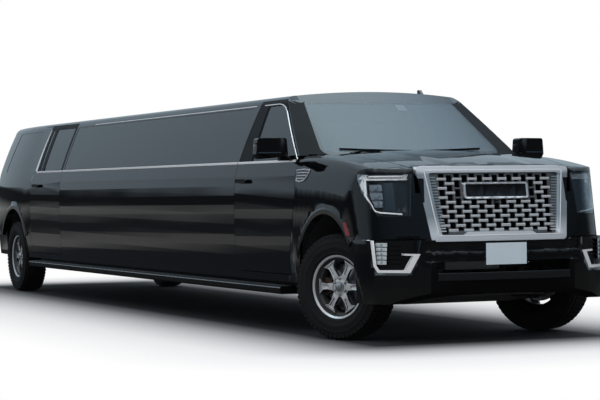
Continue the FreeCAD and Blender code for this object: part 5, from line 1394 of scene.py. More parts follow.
@dataclass
class FrontEnd:
    """Grille, lamps, bumper and plate."""

    model: Model
    row_pitch: float = 0.034
    cell_pitch: float = 0.124
    lip: Point = (0.010, 0.079, 0.019)
    mesh_foot: float = 0.792
    mesh_head: float = 1.246
    foot_half_width: float = 0.482
    head_half_width: float = 0.545
    lip_inset: float = 0.052
    plaque: Point = (0.268, 1.054, 1.175)
    plaque_rim: float = 0.014
    plaque_edge: float = 0.002
    camera_box: Pair = (0.028, 0.022)
    insert: Zone = Zone(1, (0.586, 9.0), (1.033, 1.203))
    lamp_zones: tuple[Zone, ...] = (
        Zone(5, (0.0, 9.0), (0.0, 0.80), 0.3), Zone(4, (0.962, 9.0), (0.0, 9.0)),
        Zone(1, (0.688, 9.0), (1.193, 1.230), 0.2), Zone(1, (0.945, 9.0), (0.97, 1.201), 0.2),
        Zone(2, (0.858, 0.920), (0.994, 1.166)), Zone(3, (0.780, 0.852), (0.966, 1.178)))
    bumper_back: float = 5.05
    opening: Pair = (0.60, 0.60)
    # Paths of the painted highlight lines on the surround.
    highlight_post_line: tuple[Pair, ...] = ((0.506, 0.790), (0.577, 1.262))
    highlight_cross_lines: tuple[Pair, ...] = ((1.264, 0.570), (0.786, 0.500), (1.296, 0.640))
    arm_columns: tuple[float, ...] = (0.953, 0.920, 0.885, 0.850, 0.815, 0.780, 0.750)
    arm_end: Pair = (0.957, 0.9675)
    arm_slope: float = 0.0943
    upright_rows: tuple[float, ...] = (1.196, 1.14, 1.08, 1.02, 0.970)
    upright_y: float = 0.9515
    backing_rows: tuple[float, ...] = (0.80, 0.95, 1.10, 1.24)
    backing_pitch: float = 0.18
    backing_behind: float = 0.075
    backing_bow: float = 0.28
    lean_heights: Pair = (0.803, 1.268)
    modules: tuple[float, ...] = (1.020, 1.080, 1.140)
    module_y: float = 0.889
    dome: tuple[Pair, ...] = (
        (0.0, 0.012), (0.007, 0.011), (0.013, 0.008), (0.018, 0.003), (0.0195, -0.002), (0.0, -0.002))
    small_dome: tuple[Pair, ...] = ((0.0, 0.005), (0.006, 0.004), (0.010, 0.0), (0.0, -0.001))
    fog_place: Pair = (0.914, 0.6035)
    fog_pitch: float = 0.031
    chin: Pair = (0.55, 0.492)
    slat_columns: tuple[float, ...] = (0.79, 0.83, 0.875)
    slat_foot: float = 0.592
    slat_pitch: float = 0.032

    def build(self) -> None:
        """Dresses the front."""
        self.model.smooth("grille_surround", [Kit.SURROUND, Kit.GLOSS], zone=self.surround_zone)
        self.model.smooth("grille_mesh", [Kit.MESH, Kit.CHROME, Kit.GLOSS], zone=self.mesh_zone)
        self.model.smooth("headlamps", [Kit.CLEAR])
        lamp = [Kit.GLOSS, Kit.GUIDE, Kit.MODULE, Kit.REFLECTOR, Kit.SIDE_LENS, Kit.CELL]
        self.model.smooth("headlamp_units", lamp, zone=self.lamp_zone)
        self.model.smooth("lower_bezels", [Kit.LINE])
        self.model.smooth("front_bumper", [Kit.PAINT, Kit.SATIN], zone=self.bumper_zone)
        self.model.smooth("number_plate", [Kit.PLATE])
        self.scales()
        self.painted_highlight_lines()
        self.guides()
        self.backing()
        self.lenses()
        self.lower_bar()
        self.recess_slats()

    def surround_zone(self, middle: Vector, normal: Vector) -> int:
        """The upper outer inserts are black."""
        return int(self.insert.holds(abs(middle.y), middle.z))

    def mesh_zone(self, middle: Vector, normal: Vector) -> int:
        """The mesh is painted darker than the lips on it, as painted shade between them; the plaque has a
        bright rim and a black field.
        """
        half, low, high = self.plaque
        y, z, rim, edge = abs(middle.y), middle.z, self.plaque_rim, self.plaque_edge
        if y < half - rim and low + rim < z < high - rim:
            return 2
        if y < half + edge and low - edge < z < high + edge:
            return 1
        width, drop = self.camera_box
        return 2 if y < width and low - drop < z < low else 0

    def lamp_zone(self, middle: Vector, normal: Vector) -> int:
        """Light guides, modules, reflector and outer lens by their place in the front view."""
        for zone in self.lamp_zones:
            if zone.holds(abs(middle.y), middle.z):
                return zone.finish if normal.x > zone.facing else 0
        return 0

    def bumper_zone(self, middle: Vector, normal: Vector) -> int:
        """The lower opening and the chin's underside are satin."""
        inside = abs(middle.y) < self.opening[0] and middle.z < self.opening[1]
        return int(middle.x < self.bumper_back or normal.z < -0.5 or inside)

    def scales(self) -> None:
        """Bright lips on the bars of the mesh, row over row."""
        skin = self.model.skin("grille_mesh")
        unit = chamfered(self.lip, 0.0035)
        rise = self.mesh_head - self.mesh_foot
        lips = []
        for row in range(int(rise / self.row_pitch) + 1):
            z = self.mesh_foot + row * self.row_pitch
            share = (z - self.mesh_foot) / rise
            half = self.foot_half_width + (self.head_half_width - self.foot_half_width) * share
            half -= self.lip_inset
            shift = 0.0 if row % 2 else self.cell_pitch / 2
            for column in range(-5, 6):
                y = column * self.cell_pitch + shift
                if abs(y) <= half and self.clear(y, z):
                    lips.append(moved(unit, Matrix.Translation(skin.front(y, z, 0.0015))))
        self.model.solid(merged(lips, "lips"), "grille_lips", "root", Kit.LIP, 50.0)

    def clear(self, y: float, z: float) -> bool:
        """Whether a lip stands clear of the plaque, the camera box and the border."""
        half, low, high = self.plaque
        over_plaque = abs(y) < half + 0.045 and low - 0.018 < z < high + 0.014
        over_camera = abs(y) < 0.07 and low - 0.035 < z < low
        return not over_plaque and not over_camera and self.mesh_foot + 0.028 < z < self.mesh_head - 0.014

    def painted_highlight_lines(self) -> None:
        """Painted highlights: bright lines round the grille's opening and along the top of its surround,
        where its edges catch the light.
        """
        skin = self.model.skin("grille_surround")
        lines = []
        for sign, _ in SIDES:
            lines.append([skin.front(sign * y, z) for y, z in spread(self.highlight_post_line, 0.05)])
        for z, half in self.highlight_cross_lines:
            lines.append([skin.front(half * step / 8, z) for step in range(-8, 9)])
        bars = [self.model.shop.moulding(line, Kit.LINE, 0.007, 0.009, 0.003) for line in lines]
        self.model.place(merged(bars, "painted_highlight_lines"), "surround_lines", "root", "chrome")

    def guides(self) -> None:
        """The light guide's lower arm and upright in each headlamp."""
        skin = self.model.skin("headlamp_units")
        outer, height = self.arm_end
        arms = []
        for sign, _ in SIDES:
            line = [skin.front(sign * y, height - (outer - y) * self.arm_slope, 0.001)
                    for y in self.arm_columns]
            arms.append(self.model.shop.moulding(line, Kit.GUIDE, 0.005, 0.011))
            line = [skin.front(sign * self.upright_y, z, 0.001) for z in self.upright_rows]
            arms.append(self.model.shop.moulding(line, Kit.GUIDE, 0.011, 0.005))
        self.model.place(merged(arms, "arms"), "lamp_guides", "root", "lamp_clear")

    def backing(self) -> None:
        """A dark bowed panel behind the mesh, which leans with the surround."""
        skin = self.model.skin("grille_surround")
        low, high = self.lean_heights
        foot = skin.front(0.0, low).x
        lean = (skin.front(0.0, high).x - foot) / (high - low)
        rows = []
        for z in self.backing_rows:
            x = foot + lean * (z - low) - self.backing_behind
            columns = [self.backing_pitch * step for step in range(-3, 4)]
            rows.append([Vector((x - self.backing_bow * y * y, y, z)) for y in columns])
        self.model.solid(slab(rows, 0.006, ASTERN), "grille_backing", "root", Kit.SATIN)

    def lenses(self) -> None:
        """Three domed lenses in each headlamp and small domes in the lower lamps."""
        skin = self.model.skin("headlamp_units")
        dome = turned(self.dome, 24, False)
        small = turned(self.small_dome, 16, False)
        turn = Matrix.Rotation(math.radians(90), 4, "Y")
        y, foot = self.fog_place
        domes = []
        for sign, _ in SIDES:
            places = [(dome, skin.front(sign * self.module_y, z)) for z in self.modules]
            places += [(small, skin.front(sign * y, foot + self.fog_pitch * row)) for row in range(5)]
            domes += [moved(unit, Matrix.Translation(place) @ turn) for unit, place in places]
        self.model.solid(merged(domes, "domes"), "lamp_lenses", "root", Kit.SIDE_LENS)

    def lower_bar(self) -> None:
        """The dull bright bar under the lower opening."""
        skin = self.model.skin("front_bumper")
        half, z = self.chin
        line = [skin.front(0.05 * step - half, z) for step in range(23)]
        self.model.bar(line, "chin_bar", "root", Kit.DARK_CHROME, (0.016, 0.060), 0.008)

    def recess_slats(self) -> None:
        """Dark slats beside the lower lamps, inside the bezels."""
        skin = self.model.skin("front_bumper")
        slats = []
        for sign, _ in SIDES:
            for row in range(5):
                z = self.slat_foot + self.slat_pitch * row
                line = [skin.front(sign * y, z, 0.003) for y in self.slat_columns]
                slats.append(self.model.shop.moulding(line, Kit.SATIN, 0.008, 0.008))
        self.model.place(merged(slats, "slats"), "recess_slats", "root", "plastic_black")


@dataclass
class Corner:
    """One wheel with its tyre, nuts and cap, built about Z with its outer face up and then turned."""

    model: Model
    end: str
    side: str
    radius: float = 0.401
    half_width: float = 0.1325
    bead: float = 0.236
    base_depth: float = 0.0105
    sidewall: tuple[Pair, ...] = (
        (0.0105, 0.030), (0.022, 0.014), (0.045, 0.006), (0.060, 0.0045), (0.062, 0.0015), (0.068, 0.0015),
        (0.070, 0.003), (0.098, 0.001), (0.100, 0.0), (0.106, 0.0), (0.108, 0.001))
    bead_seat: tuple[Pair, ...] = (
        (0.026, 0.010), (0.022, 0.009), (0.014, 0.012), (0.006, 0.022), (0.0, 0.030))
    groove: float = 0.05
    blocks: int = 58
    block_share: float = 0.80
    block_skew: float = 14.0
    block_rows: tuple[tuple[float, float, float, float, float], ...] = (
        (0.0, 0.030, 0.011, 0.0063, 0.0), (0.039, 0.032, 0.011, 0.0063, 1.5),
        (-0.039, 0.032, 0.011, 0.0063, 4.0), (0.082, 0.034, 0.0125, 0.0093, 2.5),
        (-0.082, 0.034, 0.0125, 0.0093, 5.2))
    shoulder: Point = (0.030, 0.026, 0.007)
    shoulder_depth: float = 0.030
    shoulder_inset: float = 0.0105
    face_reach: float = 0.030
    spoke_reach: float = 0.205
    rim_reach: float = 0.226
    rim_face: float = 0.070
    barrel_face: float = -0.005
    nut_circle: float = 0.060
    nut: tuple[Pair, ...] = ((0.0, 0.022), (0.0065, 0.022), (0.0095, 0.019), (0.0105, 0.0), (0.0, 0.0))
    cap: tuple[Pair, ...] = (
        (0.0, 0.012), (0.020, 0.012), (0.030, 0.009), (0.034, 0.004), (0.035, -0.002), (0.0, -0.002))
    cap_rim: tuple[Pair, ...] = ((0.0365, 0.0), (0.0365, 0.004), (0.0395, 0.004), (0.0395, 0.0))

    @property
    def name(self) -> str:
        """The corner's name."""
        return f"{self.end}_{self.side}"

    def place(self) -> Matrix:
        """Turns the wheel's own axes into the row frame: Z becomes the outward spin axis."""
        joint = next(j for j in self.model.frame["joints"] if j["name"] == f"spin_{self.name}")
        axis = Vector(joint["axis"]).normalized()
        outward = axis if self.side == "left" else -axis
        up = Vector((0, 0, 1))
        turn = Matrix((up.cross(outward), up, outward)).transposed().to_4x4()
        return Matrix.Translation(Vector(joint["pos_m"])) @ turn

    def build(self) -> None:
        """Dresses the corner."""
        self.here = self.place()
        self.back = self.here.inverted()
        body = f"wheel_set_{self.name}"
        self.model.smooth(f"wheel_{self.name}", [Kit.BARREL, Kit.ALLOY, Kit.POCKET], 30.0, self.wheel_zone)
        self.model.smooth(f"brake_disc_{self.name}", [Kit.STEEL])
        self.tyre(body)
        self.nuts(body)

    def wheel_zone(self, middle: Vector, normal: Vector) -> int:
        """Machined outer faces, grey pockets and a barrel painted near black as painted shade."""
        point = self.back @ middle
        facing = (self.back.to_3x3() @ normal).z
        reach = math.hypot(point.x, point.y)
        if reach > self.rim_reach:
            return int(point.z > self.rim_face)
        if point.z < self.barrel_face:
            return 0
        machined = facing > 0.75 and (point.z > self.face_reach or reach > self.spoke_reach)
        return 1 if machined else 2

    def tyre(self, body: str) -> None:
        """A tyre with sidewall rings, shoulders and five rows of tread blocks, in the solid's own form."""
        half, outer, shop = self.half_width, self.radius, self.model.shop
        side = [(outer - drop, half - inset) for drop, inset in self.sidewall]
        side += [(self.bead + rise, half - inset) for rise, inset in self.bead_seat]
        profile = side + [(r, -z) for r, z in reversed(side)]
        profile += [(outer - self.base_depth, z) for z in (-self.groove, 0.0, self.groove)]
        carcass = turned(profile, 96)
        carcass.materials.append(Kit.TYRE.material())
        pieces = [carcass]
        length = math.tau * outer / self.blocks * self.block_share
        for row, (z, width, depth, sunk, phase) in enumerate(self.block_rows):
            skew = Matrix.Rotation(math.radians(self.block_skew if row % 2 else -self.block_skew), 4, "X")
            unit = moved(chamfered((depth, length, width), 0.0016), skew)
            ring = shop.ring(unit, self.blocks, outer - sunk, Kit.TYRE, phase)
            pieces.append(moved(ring, Matrix.Translation((0, 0, z))))
        unit = chamfered(self.shoulder, 0.002)
        for sign in (1, -1):
            ring = shop.ring(unit, self.blocks, outer - self.shoulder_depth, Kit.TYRE, 0.8)
            pieces.append(moved(ring, Matrix.Translation((0, 0, sign * (half - self.shoulder_inset)))))
        mesh = merged(pieces, "tyre")
        mesh.transform(self.here)
        piece = self.model.place(mesh, f"tyre_{self.name}_tread", body, "tyre", 30.0)
        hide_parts(f"tyre_{self.name}")

    def nuts(self, body: str) -> None:
        """Six nuts in their holes and a bare cap with a bright rim."""
        skin = self.model.skin(f"wheel_{self.name}")
        nuts = self.model.shop.ring(turned(self.nut, 6, False), 6, self.nut_circle, Kit.SATIN_CHROME, 30.0)
        hole = math.pi / 6
        floor = self.height(skin, self.nut_circle * math.cos(hole), self.nut_circle * math.sin(hole))
        top = self.height(skin, 0.0, 0.0)
        cap = turned(self.cap, 40, False)
        cap.materials.append(Kit.SATIN_CHROME.material())
        rim = turned(self.cap_rim, 40)
        rim.materials.append(Kit.CHROME.material())
        parts = [moved(part, Matrix.Translation((0, 0, z)))
                 for part, z in ((nuts, floor), (cap, top), (rim, top))]
        mesh = merged(parts, "nuts")
        mesh.transform(self.here)
        self.model.place(mesh, f"wheel_nuts_{self.name}", body, "alloy", 30.0)

    def height(self, skin: Skin, x: float, y: float) -> float:
        """Height of the wheel's outer face over its middle plane."""
        start = self.here @ Vector((x, y, 0.3))
        ahead = self.here.to_3x3() @ Vector((0, 0, -1))
        hit = skin.tree.ray_cast(start, ahead)[0]
        return (self.back @ hit).z if hit is not None else 0.0


@dataclass
class TailEnd:
    """Liftgate, rear lamps and rear bumper."""

    model: Model
    gate: str = "liftgate_lid"
    brake_lamp: tuple[float, float, int] = (1.842, 0.14, 2)
    wiper_height: float = 1.405
    wiper_columns: tuple[float, ...] = (-0.30, -0.15, 0.0, 0.12)
    wiper_foot: float = 1.375
    wiper_joint: float = -0.14
    bar_height: float = 1.095
    bar_pitch: float = 0.066
    plate_rows: tuple[float, ...] = (0.895, 0.975, 1.055)
    plate_pitch: float = 0.0725
    mark_columns: tuple[float, ...] = (0.62, 0.70, 0.78)
    mark_height: float = 0.50
    lamp_columns: tuple[float, ...] = (0.825, 0.85, 0.875)
    lamp_rows: tuple[float, ...] = (1.04, 1.11, 1.18, 1.25)
    lamp_foot: float = 0.990
    pad_x: float = -5.46
    pad_half: float = 0.7
    bumper_foot: float = 0.45

    def build(self) -> None:
        """Dresses the tail."""
        self.model.smooth("liftgate", [Kit.PAINT])
        self.model.smooth("tail_lamps", [Kit.RED])
        self.model.smooth("rear_bumper", [Kit.PAINT, Kit.SATIN], zone=self.bumper_zone)
        self.dress_gate(self.model.skin("liftgate", "liftgate_glass"))
        self.dress_lamps(self.model.skin("rear_bumper"), self.model.skin("tail_lamps"))

    def dress_gate(self, skin: Skin) -> None:
        """Brake lamp, wiper, bar and the plate's place on the liftgate."""
        shop = self.model.shop
        height, pitch, steps = self.brake_lamp
        line = [skin.back(pitch * step, height, 0.003) for step in range(-steps, steps + 1)]
        self.model.bar(line, "upper_brake_lamp", self.gate, Kit.RED, (0.008, 0.016), 0.003)
        line = [skin.back(y, self.wiper_height, 0.010) for y in self.wiper_columns]
        blade = shop.moulding(line, Kit.SATIN, 0.016, 0.014, 0.004)
        line = [skin.back(0.0, self.wiper_foot, 0.010), skin.back(self.wiper_joint, self.wiper_height, 0.022)]
        arm = shop.moulding(line, Kit.SATIN, 0.012, 0.014, 0.004)
        self.model.place(merged([blade, arm], "wiper"), "gate_wiper", self.gate, "plastic_black")
        line = [skin.back(self.bar_pitch * step, self.bar_height, 0.001) for step in range(-5, 6)]
        self.model.bar(line, "gate_bar", self.gate, Kit.LINE, (0.008, 0.032), 0.004)
        rows = [[skin.back(self.plate_pitch * step, z, 0.0025) for step in range(-4, 5)]
                for z in self.plate_rows]
        self.model.solid(slab(rows, 0.003, AHEAD), "gate_plate_place", self.gate, Kit.SATIN)

    def dress_lamps(self, bumper: Skin, lamps: Skin) -> None:
        """Bars in the tail lamps, reflectors and a step pad on the bumper."""
        shop = self.model.shop
        marks = []
        for sign, side in SIDES:
            line = [bumper.back(sign * y, self.mark_height, 0.003) for y in self.mark_columns]
            marks.append(shop.moulding(line, Kit.RED_DARK, 0.006, 0.030, 0.003))
            bars = []
            for z in self.lamp_rows:
                line = [lamps.back(sign * y, z, 0.001) for y in self.lamp_columns]
                bars.append(shop.moulding(line, Kit.RED_DARK, 0.004, 0.010))
            line = [lamps.back(sign * y, self.lamp_foot, 0.001) for y in self.lamp_columns]
            bars.append(shop.moulding(line, Kit.GUIDE, 0.004, 0.030, 0.004))
            self.model.place(merged(bars, "bars"), f"tail_lamp_bars_{side}", "root", "lamp_red")
        self.model.place(merged(marks, "marks"), "rear_reflectors", "root", "lamp_red")
        line = [bumper.top(self.pad_x, 0.1 * step - self.pad_half, 0.0015) for step in range(15)]
        self.model.bar(line, "bumper_step_pad", "root", Kit.GRAINED, (0.040, 0.004), 0.001)

    def bumper_zone(self, middle: Vector, normal: Vector) -> int:
        """The foot of the bumper is satin."""
        return int(middle.z < self.bumper_foot or normal.z < -0.5)


@dataclass
class Underside:
    """What shows from below and in the arches."""

    model: Model
    finishes: dict[str, Kit] = field(default_factory=lambda: {
        "chassis_frame": Kit.CHASSIS, "wheel_arch_liners": Kit.GRAINED, "engine_block": Kit.CAST,
        "gearbox_and_propeller_shaft": Kit.CAST, "rear_axle_housing": Kit.IRON, "fuel_tank": Kit.SATIN,
        "exhaust_system": Kit.STEEL, "suspension": Kit.CHASSIS, "knuckle_left": Kit.IRON,
        "knuckle_right": Kit.IRON})
    apron_columns: tuple[float, ...] = (3.98, 4.52, 5.06)
    apron_rows: tuple[float, ...] = (0.58, 0.86, 1.15)
    apron_y: float = 0.50

    def build(self) -> None:
        """Dresses each node, and closes the inner side of each front wheel housing with an apron."""
        for node, finish in self.finishes.items():
            self.model.smooth(node, [finish])
        for sign, side in SIDES:
            rows = [[Vector((x, sign * self.apron_y, z)) for x in self.apron_columns]
                    for z in self.apron_rows]
            apron = slab(rows, 0.006, (0, -sign, 0))
            self.model.solid(apron, f"engine_apron_{side}", "root", Kit.GRAINED)


@dataclass(frozen=True)
class Pad:
    """One stuffed pad of a seat: its middle, its sides, how far it bulges and its lean in degrees."""

    middle: Point
    size: Point
    crown: float
    lean: float = 0.0
    axis: str = "Y"

    @property
    def matrix(self) -> Matrix:
        """Takes the pad from the origin to its place."""
        return Matrix.Translation(self.middle) @ Matrix.Rotation(math.radians(self.lean), 4, self.axis)

    def build(self) -> bpy.types.Mesh:
        """Crowns the pad's faces and pulls its sides in between the corners.

        Returns:
            The pad's mesh in its place.
        """
        work = bmesh.new()
        bmesh.ops.create_cube(work, size=1.0)
        bmesh.ops.subdivide_edges(work, edges=work.edges[:], cuts=7, use_grid_fill=True)
        half = Vector(self.size) / 2
        for vertex in work.verts:
            unit = vertex.co * 2
            round_off = 1 - 0.10 * max(0.0, abs(unit.x) + abs(unit.y) + abs(unit.z) - 2)
            place = Vector(unit[axis] * (half[axis] - self.crown) * round_off for axis in range(3))
            for axis in range(3):
                if abs(unit[axis]) > 0.999:
                    first, second = (unit[other] for other in range(3) if other != axis)
                    bulge = self.crown * (1 - first ** 2) * (1 - second ** 2)
                    place[axis] += math.copysign(bulge, unit[axis])
            vertex.co = place
        return moved(freed(work, bpy.data.meshes.new("pad")), self.matrix)


@dataclass
class Cabin:
    """Seats, benches, bar, partition and dashboard."""

    model: Model
    floor: float = 0.5106
    seat_x: float = 2.979
    seat_y: float = 0.430
    seat_lean: float = -4.0
    back_lean: float = -17.0
    plinth: Point = (0.44, 0.44, 0.16)
    bench_ends: Pair = (-2.20, 2.16)
    bench_count: int = 7
    bench_gap: float = 0.012
    rear_count: int = 3
    rear_pitch: float = 0.565
    bench_plinth: Pair = (0.45, 0.21)
    rear_plinth: Point = (0.44, 1.68, 0.21)
    doors: int = 8
    pull: Point = (0.16, 0.010, 0.012)
    screens: tuple[float, ...] = (0.43, 0.02)
    screen_width: float = 0.30
    screen_rows: tuple[float, ...] = (1.205, 1.25, 1.285)
    vents: tuple[float, ...] = (-0.72, -0.30, 0.74)
    vent_foot: float = 1.205
    vent_pitch: float = 0.018
    vent_half: float = 0.07

    def build(self) -> None:
        """Furnishes the cabin."""
        self.model.smooth("cabin_floor", [Kit.CARPET])
        self.model.smooth("bar_cabinet", [Kit.WOOD])
        self.model.smooth("partition", [Kit.SATIN])
        self.model.smooth("dashboard", [Kit.GRAINED])
        self.model.smooth("steering_wheel", [Kit.LEATHER])
        self.front_seats()
        self.benches()
        self.bar_front()
        self.dash_front()

    def upholster(self, pads: Sequence[Pad], name: str, node: str) -> None:
        """Joins pads into one padded piece that takes a node's place.

        Args:
            pads: The pads.
            name: The piece's name.
            node: The CAD node.
        """
        mesh = merged([pad.build() for pad in pads], name)
        mesh.materials.append(Kit.LEATHER.material())
        mesh.polygons.foreach_set("use_smooth", [True] * len(mesh.polygons))
        piece = added(name, mesh)
        softened = piece.modifiers.new("soft", "SUBSURF")
        softened.levels = softened.render_levels = 1
        self.model.settle(piece)
        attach(piece, "root")
        log.info("%s: %d pads", name, len(pads))
        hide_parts(node)

    def front_seats(self) -> None:
        """Two seats with bolsters, backs and headrests on plinths."""
        pads = []
        plinths = []
        x, floor = self.seat_x, self.floor
        for sign, _ in SIDES:
            y = sign * self.seat_y
            pads.append(Pad((x + 0.23, y, floor + 0.245), (0.50, 0.34, 0.15), 0.018, self.seat_lean))
            pads.append(Pad((x - 0.035, y, floor + 0.60), (0.13, 0.33, 0.56), 0.016, self.back_lean))
            for edge in (1, -1):
                pads.append(Pad((x + 0.22, y + edge * 0.215, floor + 0.265), (0.47, 0.09, 0.15), 0.012,
                                self.seat_lean))
                pads.append(Pad((x - 0.02, y + edge * 0.205, floor + 0.57), (0.13, 0.085, 0.50), 0.012,
                                self.back_lean))
            pads.append(Pad((x - 0.115, y, floor + 0.875), (0.09, 0.26, 0.12), 0.012, self.back_lean))
            foot = Matrix.Translation((x + 0.22, y, floor + 0.082))
            plinths.append(moved(chamfered(self.plinth, 0.02, 0.92), foot))
        self.upholster(pads, "front_seat_pads", "front_seats")
        self.model.solid(merged(plinths, "plinths"), "front_seat_plinths", "root", Kit.GRAINED)

    def benches(self) -> None:
        """The long side bench and the rear bench, cushion by cushion, on plinths."""
        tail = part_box("lounge_seats")[0].x
        floor = self.floor
        start, end = self.bench_ends
        pitch = (end - start) / self.bench_count
        pads = []
        for step in range(self.bench_count):
            x = start + pitch * (step + 0.5)
            pads.append(Pad((x, 0.62, floor + 0.30), (pitch - self.bench_gap, 0.38, 0.155), 0.016))
            pads.append(Pad((x, 0.862, floor + 0.57), (pitch - self.bench_gap, 0.085, 0.37), 0.012,
                            -7.0, "X"))
        for step in range(self.rear_count):
            y = (step - 1) * self.rear_pitch
            pads.append(Pad((tail + 0.26, y, floor + 0.30), (0.42, 0.553, 0.155), 0.016))
            pads.append(Pad((tail + 0.065, y * 0.93, floor + 0.59), (0.085, 0.52, 0.41), 0.012, -6.0))
        self.upholster(pads, "lounge_pads", "lounge_seats")
        height = floor + 0.107
        side = moved(chamfered((end - start, *self.bench_plinth), 0.02),
                     Matrix.Translation(((start + end) / 2, 0.66, height)))
        rear = moved(chamfered(self.rear_plinth, 0.02), Matrix.Translation((tail + 0.23, 0.0, height)))
        self.model.solid(merged([side, rear], "plinths"), "bench_plinths", "root", Kit.CARPET)

    def bar_front(self) -> None:
        """Door lines, pulls and a bright top edge on the bar cabinet."""
        shop = self.model.shop
        low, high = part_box("bar_cabinet")
        pitch = (high.x - low.x) / self.doors
        pieces = []
        for step in range(1, self.doors):
            x = low.x + pitch * step
            line = [Vector((x, high.y + 0.0005, z)) for z in (low.z + 0.04, high.z - 0.07)]
            pieces.append(shop.moulding(line, Kit.SATIN, 0.004, 0.002, 0.0005))
        line = [Vector((x, high.y + 0.008, high.z - 0.12)) for x in (low.x + pitch / 2, high.x - pitch / 2)]
        pieces.append(shop.row(line, chamfered(self.pull, 0.003), self.doors, Kit.CHROME))
        line = [Vector((x, high.y + 0.002, high.z - 0.035)) for x in (low.x + 0.02, high.x - 0.02)]
        pieces.append(shop.moulding(line, Kit.SATIN_CHROME, 0.006, 0.010))
        self.model.place(merged(pieces, "bar"), "bar_fittings", "root", "chrome")

    def dash_front(self) -> None:
        """Blank screens and vents on the dashboard."""
        skin = self.model.skin("dashboard")
        pieces = []
        for y in self.screens:
            columns = [y + self.screen_width * (k / 4 - 0.5) for k in range(5)]
            rows = [[skin.back(column, z, 0.006) for column in columns] for z in self.screen_rows]
            pieces.append(slab(rows, 0.008, AHEAD))
            pieces[-1].materials.append(Kit.GLOSS.material())
        for y in self.vents:
            for step in range(4):
                z = self.vent_foot + self.vent_pitch * step
                line = [skin.back(y + offset, z, 0.004) for offset in (-self.vent_half, 0.0, self.vent_half)]
                pieces.append(self.model.shop.moulding(line, Kit.SATIN, 0.008, 0.006))
        self.model.place(merged(pieces, "dash"), "dash_fittings", "root", "gloss_black")


